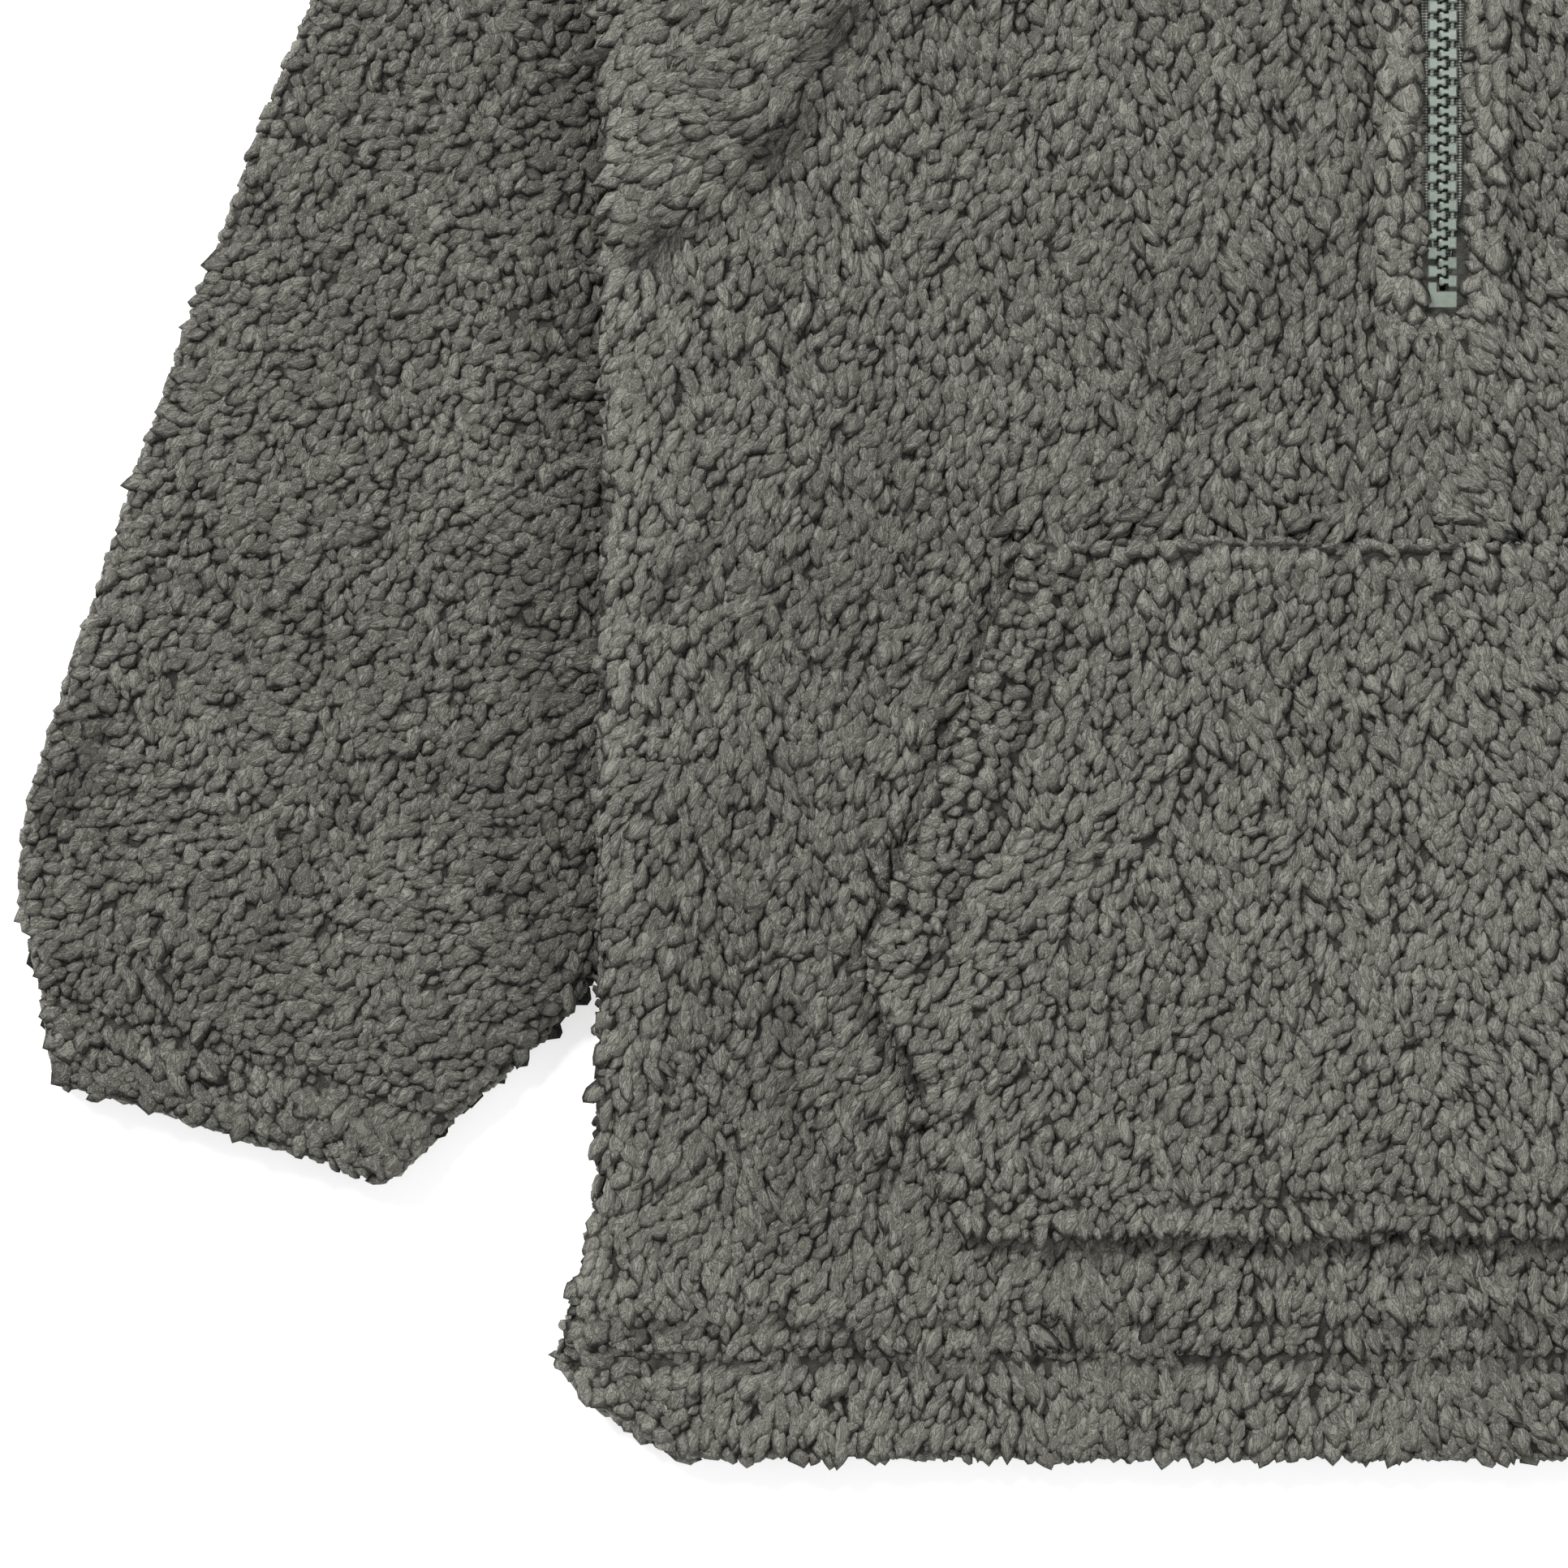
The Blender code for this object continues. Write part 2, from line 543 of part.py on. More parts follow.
def build_pull(collection, cutters):
    """The pull tab, with its origin on its crossbar, lying down the zip."""
    bar = bmesh.new()
    bmesh.ops.create_cone(
        bar, cap_ends=True, segments=16, radius1=PULL_BAR, radius2=PULL_BAR, depth=PULL_WIDTH
    )
    bmesh.ops.rotate(bar, cent=(0, 0, 0), matrix=Matrix.Rotation(math.pi / 2, 3, "Y"), verts=bar.verts)
    bmesh.ops.scale(bar, vec=(MM, MM, MM), verts=bar.verts)
    tab = (PULL_WIDTH, PULL_LENGTH - 0.4, PULL_THICK)
    blocks = [box(tab, (0, -PULL_LENGTH / 2 - 0.2, 0), 0.4), bar]
    window = box((*PULL_WINDOW, 4.0), (0, PULL_WINDOW_AT, 0))
    pull = joined("zip_pull", blocks, collection, cutters, PLASTIC, 0.35, cut=[window])
    for part in [pull, *(step.object for step in pull.modifiers)]:
        part.location = (0.0, (SLIDER_AT - LENGTH / 2) * MM, PULL_LEVEL * MM)
    return pull


def main():
    for old in list(bpy.data.objects):
        bpy.data.objects.remove(old, do_unlink=True)
    parts = bpy.data.collections.new("half_zip_pullover")
    cutters = bpy.data.collections.new("cutters")
    for collection in (parts, cutters):
        bpy.context.scene.collection.children.link(collection)

    outer, inner = body_panel(FRONT_COLUMNS, FRONT_NECK, 1.0, front_relief, zip_room)
    keep = np.ones((outer.shape[0] - 1, outer.shape[1] - 1), bool)
    slit_row = len(EDGE_TURNS) + SQUARE_ROWS.index(SLIT_BOTTOM)
    keep[slit_row:, outer.shape[1] // 2 - 1] = False
    add_wall("front", outer, inner, parts, keep=keep)
    add_wall("pocket", *pocket_panel(outer), parts)
    add_wall("back", *body_panel(BACK_COLUMNS, BACK_NECK, -1.0, back_relief, no_room), parts)
    outer, inner = sleeve_tube()
    for name, side in (("sleeve_right", -1.0), ("sleeve_left", 1.0)):
        flip = np.array((side, 1.0, 1.0))
        add_wall(name, outer * flip, inner * flip, parts, ring=True)
    add_wall("collar", *collar_strip(), parts)
    upper, lower = tape_strip()
    for name, side in (("zip_tape_right", -1.0), ("zip_tape_left", 1.0)):
        flip = np.array((side, 1.0, 1.0))
        add_wall(name, upper * flip, lower * flip, parts, TAPE_GREEN, 0.8)
    build_stop(parts, cutters)
    build_slider(parts, cutters)
    build_pull(parts, cutters)


main()
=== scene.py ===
import json
import math

import bmesh
import bpy
import numpy as np
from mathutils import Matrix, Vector
from mathutils.bvhtree import BVHTree

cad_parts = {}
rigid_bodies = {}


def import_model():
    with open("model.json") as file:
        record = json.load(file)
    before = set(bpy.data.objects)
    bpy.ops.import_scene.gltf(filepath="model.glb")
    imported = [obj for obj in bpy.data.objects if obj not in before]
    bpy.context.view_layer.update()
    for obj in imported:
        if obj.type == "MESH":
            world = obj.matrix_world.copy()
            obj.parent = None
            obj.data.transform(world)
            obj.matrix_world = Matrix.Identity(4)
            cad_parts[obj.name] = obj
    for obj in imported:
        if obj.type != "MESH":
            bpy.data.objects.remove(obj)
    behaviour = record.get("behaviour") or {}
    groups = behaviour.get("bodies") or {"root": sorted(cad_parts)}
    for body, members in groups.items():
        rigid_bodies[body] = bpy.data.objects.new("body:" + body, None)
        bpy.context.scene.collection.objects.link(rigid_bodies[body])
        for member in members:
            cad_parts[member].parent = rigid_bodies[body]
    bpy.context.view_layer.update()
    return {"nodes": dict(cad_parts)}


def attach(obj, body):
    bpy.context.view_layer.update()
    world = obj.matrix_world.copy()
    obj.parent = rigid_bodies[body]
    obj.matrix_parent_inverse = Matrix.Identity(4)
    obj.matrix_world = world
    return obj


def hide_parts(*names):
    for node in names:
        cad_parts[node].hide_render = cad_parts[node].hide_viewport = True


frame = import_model()

# The set. The garment lies on a pale table under a broad soft lamp from the upper left, and the
# camera looks straight down at its lower right part, as the wearer has it.
MM = 0.001
GARMENT_LENGTH = 750.0
VIEW_WIDTH = 0.483
VIEW_CENTRE = (-0.203, (208.5 - GARMENT_LENGTH / 2) * MM, 0.012)
LENS = 110.0
SENSOR = 36.0

camera_data = bpy.data.cameras.new("camera")
camera_data.lens = LENS
camera_data.sensor_width = SENSOR
camera = bpy.data.objects.new("camera", camera_data)
camera.location = Vector(VIEW_CENTRE) + Vector((0, 0, VIEW_WIDTH * LENS / SENSOR))
bpy.context.scene.collection.objects.link(camera)
bpy.context.scene.camera = camera

floor_mesh = bpy.data.meshes.new("floor")
FLOOR_HALF = 6.0
corners = [(x * FLOOR_HALF, y * FLOOR_HALF, 0.0) for x, y in ((-1, -1), (1, -1), (1, 1), (-1, 1))]
floor_mesh.from_pydata(corners, [], [(0, 1, 2, 3)])
floor = bpy.data.objects.new("floor", floor_mesh)
bpy.context.scene.collection.objects.link(floor)
floor_paint = bpy.data.materials.new("table_white")
floor_paint.use_nodes = True
floor_looks = {
    "Base Color": (0.92, 0.92, 0.92, 1),
    "Roughness": 0.9,
    "Specular IOR Level": 0.1,
    "Emission Color": (1, 1, 1, 1),
    "Emission Strength": 0.6,
}
for socket, value in floor_looks.items():
    floor_paint.node_tree.nodes["Principled BSDF"].inputs[socket].default_value = value
floor_mesh.materials.append(floor_paint)

world = bpy.data.worlds.new("studio")
world.use_nodes = True
world.node_tree.nodes["Background"].inputs["Color"].default_value = (0.98, 0.99, 1.0, 1)
world.node_tree.nodes["Background"].inputs["Strength"].default_value = 0.37
bpy.context.scene.world = world
bpy.context.scene.view_settings.view_transform = "Standard"


def add_lamp(name, place, aim, size, power):
    lamp_data = bpy.data.lights.new(name, "AREA")
    lamp_data.size = size
    lamp_data.energy = power
    lamp = bpy.data.objects.new(name, lamp_data)
    lamp.location = place
    lamp.rotation_euler = (Vector(aim) - Vector(place)).to_track_quat("-Z", "Y").to_euler()
    bpy.context.scene.collection.objects.link(lamp)
    return lamp


add_lamp("key", (-2.3, 2.5, 2.9), (-0.1, -0.05, 0), 1.1, 138)
add_lamp("fill", (1.8, -0.9, 2.0), (0, 0, 0), 2.2, 12)
add_lamp("gloss", (0.22, 0.47, 1.6), (0, 0.1, 0), 0.34, 5.5).visible_diffuse = False


# Fleece. A knitted ground carries a curled pile, whose fibres cling in flat pointed locks that lie
# down along the nap. The ground is each cloth piece's own shell, and the locks are set over it.
def node_adder(tree):
    """A short way to add a node to a tree with its settings, and its inputs set or linked."""

    def add(kind, values=None, **settings):
        node = tree.nodes.new(kind)
        for key, value in settings.items():
            setattr(node, key, value)
        for key, value in (values or {}).items():
            if isinstance(value, bpy.types.NodeSocket):
                tree.links.new(value, node.inputs[key])
            else:
                node.inputs[key].default_value = value
        return node

    return add


def new_material(name, roughness, sheen=0.0):
    """A material with its node tree, its shader and a short way to add and link nodes."""
    made = bpy.data.materials.new(name)
    made.use_nodes = True
    tree = made.node_tree
    shader = tree.nodes["Principled BSDF"]
    shader.inputs["Roughness"].default_value = roughness
    shader.inputs["Specular IOR Level"].default_value = 0.25
    shader.inputs["Sheen Weight"].default_value = sheen
    shader.inputs["Sheen Roughness"].default_value = 0.45
    return made, tree, shader, node_adder(tree)


def colour_ramp(add, factor, stops):
    ramp = add("ShaderNodeValToRGB", {"Fac": factor})
    elements = ramp.color_ramp.elements
    while len(elements) < len(stops):
        elements.new(0.5)
    for element, (place, colour) in zip(elements, stops):
        element.position = place
        element.color = (*colour, 1.0)
    return ramp.outputs["Color"]


def lock_material():
    """Colour by lock, with fine strands and creases drawn along it, painted shade towards its root and in the
    creases, and the pile's painted light and shade laid on by point.
    """
    made, tree, shader, add = new_material("fleece_locks", 0.92, sheen=0.12)
    fibre = add("ShaderNodeAttribute", attribute_name="fibre").outputs["Vector"]
    shade = add("ShaderNodeAttribute", attribute_name="lock_shade").outputs["Fac"]
    place = add("ShaderNodeTexCoord").outputs["Object"]
    apart = add("ShaderNodeVectorMath", {0: (37.0, 91.0, 0.0), "Scale": shade}, operation="SCALE").outputs[0]
    apart = add("ShaderNodeVectorMath", {0: fibre, 1: apart}, operation="ADD").outputs[0]
    drawn = add("ShaderNodeVectorMath", {0: apart, 1: (0.62, 0.15, 0.62)}, operation="MULTIPLY").outputs[0]
    strands = add("ShaderNodeTexNoise", {"Vector": drawn, "Scale": 1.0, "Detail": 3.5, "Distortion": 1.1})
    strands = strands.outputs["Fac"]
    # The fine creases between strands are drawn darker, as painted shade, and lower in the bump.
    crease = add("ShaderNodeMath", {0: strands, 1: 0.5}, operation="SUBTRACT").outputs[0]
    crease = add("ShaderNodeMath", {0: crease}, operation="ABSOLUTE").outputs[0]
    crease = add("ShaderNodeMapRange", {"Value": crease, "From Max": 0.07}, interpolation_type="SMOOTHSTEP")
    crease = crease.outputs[0]
    patches = add("ShaderNodeTexNoise", {"Vector": place, "Scale": 16.0, "Detail": 2.0}).outputs["Fac"]
    specks = add("ShaderNodeTexNoise", {"Vector": place, "Scale": 2300.0, "Detail": 1.0}).outputs["Fac"]
    along = add("ShaderNodeSeparateXYZ", {0: fibre})
    # Painted shade: each lock is drawn darker towards its root, low down under the locks over it.
    painted_root_shade = add("ShaderNodeMapRange", {"Value": along.outputs["Z"], "From Min": -0.6, "From Max": 1.3})
    thin = add("ShaderNodeVectorMath", {0: apart, 1: (2.6, 0.36, 2.6)}, operation="MULTIPLY").outputs[0]
    fibres = add("ShaderNodeTexNoise", {"Vector": thin, "Scale": 1.0, "Detail": 2.0, "Distortion": 0.8})
    fibres = fibres.outputs["Fac"]
    tone = add("ShaderNodeMath", {0: shade, 1: 0.22}, operation="MULTIPLY").outputs[0]
    # Painted light and shade from the pile's tone field: lighter where the pile catches light or sheen,
    # darker in its creases, grooves and shadows.
    lit = add("ShaderNodeAttribute", attribute_name="pile_tone").outputs["Fac"]
    parts = (
        (patches, 0.32), (strands, 0.42), (crease, 0.2), (painted_root_shade.outputs[0], 0.72), (specks, 0.3),
        (fibres, 0.5), (lit, 0.3),
    )
    for part, share in parts:
        tone = add("ShaderNodeMath", {0: part, 1: share, 2: tone}, operation="MULTIPLY_ADD").outputs[0]
    stops = (
        (0.3, (0.042, 0.0405, 0.033)),
        (0.68, (0.201, 0.1955, 0.1655)),
        (1.0, (0.42, 0.41, 0.355)),
    )
    scaled = add("ShaderNodeMapRange", {"Value": tone, "From Min": 0.62, "From Max": 1.94}).outputs[0]
    tree.links.new(colour_ramp(add, scaled, stops), shader.inputs["Base Color"])
    height = add("ShaderNodeMath", {0: crease, 1: 0.4, 2: strands}, operation="MULTIPLY_ADD").outputs[0]
    height = add("ShaderNodeMath", {0: specks, 1: 0.25, 2: height}, operation="MULTIPLY_ADD").outputs[0]
    height = add("ShaderNodeMath", {0: fibres, 1: 0.35, 2: height}, operation="MULTIPLY_ADD").outputs[0]
    bump = add("ShaderNodeBump", {"Strength": 1.0, "Distance": 0.002, "Height": height})
    tree.links.new(bump.outputs[0], shader.inputs["Normal"])
    return made


def ground_material():
    """The knitted ground and the short pile between the locks: small soft cells and fine fuzz, coloured
    darker than the locks as painted shade, darkest at the cells' edges.
    """
    made, tree, shader, add = new_material("fleece_ground", 0.95, sheen=0.1)
    place = add("ShaderNodeTexCoord").outputs["Object"]
    bent = add("ShaderNodeTexNoise", {"Vector": place, "Scale": 160.0, "Detail": 2.0}).outputs["Color"]
    bent = add("ShaderNodeVectorMath", {0: bent, 1: (0.004, 0.004, 0.004)}, operation="MULTIPLY").outputs[0]
    moved = add("ShaderNodeVectorMath", {0: place, 1: bent}, operation="ADD").outputs[0]
    cells = add("ShaderNodeTexVoronoi", {"Vector": moved, "Scale": 330.0}, feature="SMOOTH_F1").outputs[0]
    fuzz = add("ShaderNodeTexNoise", {"Vector": place, "Scale": 1900.0, "Detail": 4.0}).outputs["Fac"]
    height = add("ShaderNodeMath", {0: cells, 1: -1.0, 2: fuzz}, operation="MULTIPLY_ADD").outputs[0]
    # Painted shade: darker than the locks, and darkest at the cells' edges.
    stops = ((0.0, (0.17, 0.166, 0.141)), (0.4, (0.1, 0.097, 0.082)), (0.8, (0.022, 0.021, 0.018)))
    tree.links.new(colour_ramp(add, cells, stops), shader.inputs["Base Color"])
    bump = add("ShaderNodeBump", {"Strength": 1.0, "Distance": 0.0025, "Height": height})
    tree.links.new(bump.outputs[0], shader.inputs["Normal"])
    return made


LOCKS = lock_material()
GROUND = ground_material()

# Lock forms: length, half width, half height, sideways curl and lift of the tip, in millimetres
LOCK_FORMS = (
    (10.0, 3.3, 2.1, 1.4, 0.2),
    (8.6, 3.8, 2.3, -1.5, 0.0),
    (11.5, 3.0, 2.0, -1.1, 0.5),
    (9.4, 3.6, 2.2, 2.3, -0.2),
    (10.8, 2.9, 2.1, -2.5, 0.4),
    (7.8, 3.7, 2.4, 0.7, 0.0),
    (9.8, 3.1, 1.9, 0.2, 0.8),
    (10.3, 3.4, 2.0, -0.3, -0.1),
)
# A lock's outline from the root's left round by its tip, and then the points of its back, each as
# shares of its half width, length and half height
LOCK_POINTS = (
    (-0.6, 0.0, -0.6), (-1.0, 0.5, -0.25), (-0.6, 0.84, -0.15), (0.0, 1.0, 0.0), (0.56, 0.8, -0.15),
    (1.0, 0.46, -0.25), (0.55, 0.0, -0.6), (0.0, 0.06, 0.6), (-0.38, 0.44, 1.0), (0.42, 0.4, 0.92),
    (0.0, 0.78, 0.72),
)
LOCK_BACK = (
    (0, 7, 8), (0, 8, 1), (0, 6, 7), (6, 9, 7), (6, 5, 9), (7, 9, 8), (1, 8, 2),
    (8, 10, 2), (8, 9, 10), (9, 5, 4), (9, 4, 10), (2, 10, 3), (10, 4, 3),
)
LOCK_UNDER = ((0, 1, 6), (1, 5, 6), (1, 2, 5), (2, 4, 5), (2, 3, 4))
TIP = 3


def lock_mesh(index, form):
    """A closed flake lying along +Y from its root, bent over to a point."""
    length, width, height, curl, lift = form
    chance = np.random.default_rng(70 + index)
    points = []
    for at, (side, along, up) in enumerate(LOCK_POINTS):
        wander = chance.uniform(-0.1, 0.1, 3)
        x = width * (side + wander[0]) + curl * along**2
        y = length * (along - 0.15 + 0.5 * wander[1])
        z = height * (up + wander[2]) + (lift if at == TIP else 0.0)
        points.append((x, y, z))
    faces = LOCK_BACK + LOCK_UNDER
    mesh = bpy.data.meshes.new(f"lock_{index}")
    mesh.from_pydata([tuple(c * MM for c in point) for point in points], [], faces)
    mesh.shade_smooth()
    fibre = mesh.attributes.new("fibre", "FLOAT_VECTOR", "POINT")
    apart = np.array((60.0 * index, 60.0 * index, 0.0))
    fibre.data.foreach_set("vector", (np.array(points) + apart).astype(np.float32).ravel())
    return mesh


lock_forms = bpy.data.collections.new("lock_forms")
bpy.context.scene.collection.children.link(lock_forms)
for index, form in enumerate(LOCK_FORMS):
    lock_forms.objects.link(bpy.data.objects.new(f"lock_{index}", lock_mesh(index, form)))


def pile_tree():
    """Geometry nodes that set locks over a skin, along its nap, and store each lock's own shade."""
    tree = bpy.data.node_groups.new("pile", "GeometryNodeTree")
    sockets = (
        ("Skin", "NodeSocketGeometry", None),
        ("Spacing", "NodeSocketFloat", 0.0042),
        ("Yaw", "NodeSocketFloat", 0.45),
        ("Swirl", "NodeSocketFloat", 0.6),
        ("Size", "NodeSocketFloat", 1.0),
        ("Seed", "NodeSocketInt", 1),
    )
    for name, kind, default in sockets:
        socket = tree.interface.new_socket(name=name, in_out="INPUT", socket_type=kind)
        if default is not None:
            socket.default_value = default
    tree.interface.new_socket(name="Pile", in_out="OUTPUT", socket_type="NodeSocketGeometry")
    add = node_adder(tree)

    def named(name, kind):
        return add("GeometryNodeInputNamedAttribute", {"Name": name}, data_type=kind).outputs["Attribute"]

    def math_node(operation, a, b):
        return add("ShaderNodeMath", {0: a, 1: b}, operation=operation).outputs[0]

    def chance(low, high, step):
        seed = add("FunctionNodeIntegerMath", {0: inside.outputs["Seed"], 1: step}, operation="ADD")
        values = {"Seed": seed.outputs[0], 2: low, 3: high}
        return add("FunctionNodeRandomValue", values, data_type="FLOAT").outputs[1]

    inside = add("NodeGroupInput")
    bare = add("FunctionNodeCompare", {0: named("pile_keep", "FLOAT"), 1: 0.3}, operation="LESS_THAN")
    planted = add(
        "GeometryNodeDeleteGeometry", {0: inside.outputs["Skin"], "Selection": bare.outputs[0]}, domain="FACE"
    )
    spread = add(
        "GeometryNodeDistributePointsOnFaces",
        {
            "Mesh": planted.outputs[0],
            "Distance Min": inside.outputs["Spacing"],
            "Density Max": 900000.0,
            "Seed": inside.outputs["Seed"],
        },
        distribute_method="POISSON",
    )
    upright = add("FunctionNodeAlignRotationToVector", {"Vector": spread.outputs["Normal"]}, axis="Z")
    along = add(
        "FunctionNodeAlignRotationToVector",
        {"Rotation": upright.outputs[0], "Vector": named("nap", "FLOAT_VECTOR")},
        axis="Y",
        pivot_axis="Z",
    )
    place = add("GeometryNodeInputPosition").outputs[0]
    swirl = add("ShaderNodeTexNoise", {"Vector": place, "Scale": 42.0, "Detail": 1.0}).outputs["Fac"]
    swirl = add("ShaderNodeMapRange", {"Value": swirl, "From Min": 0.25, "From Max": 0.75, "To Min": -1.0})
    swirl = math_node("MULTIPLY", swirl.outputs[0], inside.outputs["Swirl"])
    back_yaw = math_node("MULTIPLY", inside.outputs["Yaw"], -1.0)
    yaw = math_node("ADD", chance(back_yaw, inside.outputs["Yaw"], 5), swirl)
    yaw = math_node("MULTIPLY", yaw, named("pile_mess", "FLOAT"))
    tilt = math_node("ADD", chance(-0.08, 0.28, 3), named("pile_lift", "FLOAT"))
    turn = add("ShaderNodeCombineXYZ", {0: tilt, 1: chance(-0.3, 0.3, 4), 2: yaw})
    turned = add(
        "FunctionNodeRotateRotation",
        {0: along.outputs[0], 1: add("FunctionNodeEulerToRotation", {0: turn.outputs[0]}).outputs[0]},
        rotation_space="LOCAL",
    )
    size = math_node("MULTIPLY", chance(0.72, 1.36, 6), inside.outputs["Size"])
    long = math_node("MULTIPLY", size, named("pile_length", "FLOAT"))
    deep = math_node("MULTIPLY", size, named("pile_depth", "FLOAT"))
    wide = math_node("MULTIPLY", size, named("pile_width", "FLOAT"))
    scale = add("ShaderNodeCombineXYZ", {0: wide, 1: long, 2: deep})
    forms = add(
        "GeometryNodeCollectionInfo",
        {"Collection": lock_forms, "Separate Children": True, "Reset Children": True},
    )
    choices = {"Seed": inside.outputs["Seed"], 4: 0, 5: len(LOCK_FORMS) - 1}
    index = add("FunctionNodeRandomValue", choices, data_type="INT")
    placed = add(
        "GeometryNodeInstanceOnPoints",
        {
            "Points": spread.outputs["Points"],
            "Instance": forms.outputs[0],
            "Pick Instance": True,
            "Instance Index": index.outputs[2],
            "Rotation": turned.outputs[0],
            "Scale": scale.outputs[0],
        },
    )
    shaded = add(
        "GeometryNodeStoreNamedAttribute",
        {"Geometry": placed.outputs[0], "Name": "lock_shade", "Value": chance(0.0, 1.0, 7)},
        data_type="FLOAT",
        domain="INSTANCE",
    )
    real = add("GeometryNodeRealizeInstances", {"Geometry": shaded.outputs[0]})
    painted = add("GeometryNodeSetMaterial", {"Geometry": real.outputs[0], "Material": LOCKS})
    tree.links.new(painted.outputs[0], add("NodeGroupOutput").inputs[0])
    return tree


PILE = pile_tree()
# Plain pile. The tone field paints light and shade on the locks by point, besides a little plain tone.
PLAIN_PILE = {
    "length": 1.0,
    "width": 1.0,
    "depth": 1.0,
    "lift": 0.0,
    "tone": 0.0,
    "mess": 1.0,
    "keep": 1.0,
}
FLOOR_CLEAR = 0.0002


def finished(name, source):
    """The object's evaluated mesh as a plain new piece, with the source object removed."""
    graph = bpy.context.evaluated_depsgraph_get()
    mesh = bpy.data.meshes.new_from_object(source.evaluated_get(graph))
    mesh.name = name
    bpy.data.objects.remove(source, do_unlink=True)
    made = bpy.data.objects.new(name, mesh)
    bpy.context.scene.collection.objects.link(made)
    return made


def cloth_shell(node, inset, outward):
    """A smooth copy of a cloth solid, its outer side drawn in to where the locks are rooted.

    outward gives for points and normals how far each faces out of the cloth, over 0.4 on its outer side.
    """
    form = bmesh.new()
    form.from_mesh(frame["nodes"][node].data)
    bmesh.ops.remove_doubles(form, verts=form.verts, dist=2e-5)
    bmesh.ops.join_triangles(
        form, faces=form.faces[:], angle_face_threshold=0.5, angle_shape_threshold=0.9
    )
    mesh = bpy.data.meshes.new(node + "_ground")
    form.to_mesh(mesh)
    form.free()
    shell = bpy.data.objects.new(node + "_ground", mesh)
    bpy.context.scene.collection.objects.link(shell)
    rounding = shell.modifiers.new("rounding", "SUBSURF")
    rounding.levels = rounding.render_levels = 1
    shell = finished(node + "_ground", shell)
    mesh = shell.data
    mesh.shade_smooth()
    mesh.materials.clear()
    mesh.materials.append(GROUND)
    points, normals = vertex_arrays(mesh)
    outer = np.clip((outward(points, normals) - 0.1) / 0.3, 0.0, 1.0)
    walls = BVHTree.FromPolygons([Vector(p) for p in points], [p.vertices[:] for p in mesh.polygons])
    for at in np.nonzero(outer)[0]:
        start = Vector(points[at] - 0.1 * MM * normals[at])
        through = walls.ray_cast(start, Vector(-normals[at]), 3 * inset)[3] or 3 * inset
        points[at] -= normals[at] * min(inset, 0.45 * through) * outer[at]
    points[:, 2] = np.maximum(points[:, 2], FLOOR_CLEAR)
    mesh.vertices.foreach_set("co", points.astype(np.float32).ravel())
    mesh.update()
    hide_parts(node)
    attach(shell, "pullover")
    return shell


def vertex_arrays(mesh):
    points = np.empty(len(mesh.vertices) * 3, np.float32)
    normals = np.empty(len(mesh.vertices) * 3, np.float32)
    mesh.vertices.foreach_get("co", points)
    mesh.vertices.foreach_get("normal", normals)
    return points.reshape(-1, 3).astype(float), normals.reshape(-1, 3).astype(float)


def set_inputs(modifier, **values):
    """Sets a geometry nodes modifier's inputs by the identifiers of their sockets."""
    for socket in modifier.node_group.interface.items_tree:
        if socket.in_out == "INPUT" and socket.name in values:
            modifier[socket.identifier] = values[socket.name]


def lay_pile(name, shell, outward, fields, part=None, **values):
    """Sets locks on a shell's outer side, by fields of plan points, heights and normals, in millimetres.

    fields gives each point's nap, and by name what else differs from plain pile, and part the points used.
    """
    skin = bpy.data.objects.new(name, shell.data.copy())
    bpy.context.scene.collection.objects.link(skin)
    finer = skin.modifiers.new("finer", "SUBSURF")
    finer.subdivision_type = "SIMPLE"
    finer.levels = finer.render_levels = 2
    skin = finished(name, skin)
    mesh = skin.data
    points, normals = vertex_arrays(mesh)
    x, h, z = points[:, 0] / MM, points[:, 1] / MM + GARMENT_LENGTH / 2, points[:, 2] / MM
    growth = dict(PLAIN_PILE)
    nap, own = fields(x, h, z, normals)
    growth.update(own)
    rim = smooth((0.8 - np.abs(normals[:, 2])) / 0.5)
    growth["length"] = growth["length"] * (1.0 - 0.4 * rim)
    growth["width"] = growth["width"] * (1.0 + 0.25 * rim)
    growth["mess"] = growth["mess"] * (1.0 - 0.6 * rim)
    nap[:, 2] -= 1.2 * smooth((0.75 - np.abs(normals[:, 2])) / 0.4)
    growth["keep"] = growth["keep"] * (outward(points, normals) > 0.3)
    if part is not None:
        growth["keep"] = growth["keep"] * part(x, h, normals)
    combing = mesh.attributes.new("nap", "FLOAT_VECTOR", "POINT")
    combing.data.foreach_set("vector", nap.astype(np.float32).ravel())
    for key, field in growth.items():
        field = np.broadcast_to(field, len(points)).astype(np.float32)
        mesh.attributes.new("pile_" + key, "FLOAT", "POINT").data.foreach_set("value", field)
    grow = skin.modifiers.new("pile", "NODES")
    grow.node_group = PILE
    set_inputs(grow, **values)
    pile = finished(name, skin)
    for key in ("nap", "pile_length", "pile_width", "pile_depth", "pile_lift", "pile_mess", "pile_keep"):
        if key in pile.data.attributes:
            pile.data.attributes.remove(pile.data.attributes[key])
    points, _ = vertex_arrays(pile.data)
    points[:, 2] = np.maximum(points[:, 2], FLOOR_CLEAR)
    pile.data.vertices.foreach_set("co", points.astype(np.float32).ravel())
    pile.data.update()
    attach(pile, "pullover")
    return pile


def smooth(share):
    share = np.clip(share, 0.0, 1.0)
    return share * share * (3.0 - 2.0 * share)


def near(distance, half):
    return np.clip(1.0 - np.abs(distance) / half, 0.0, 1.0)


def heading(angle, sides):
    """Unit directions on the table, angle degrees out from straight down, to the side that sides gives."""
    turn = np.radians(angle)
    return np.stack((sides * np.sin(turn), -np.cos(turn), 0.0 * turn), axis=1)


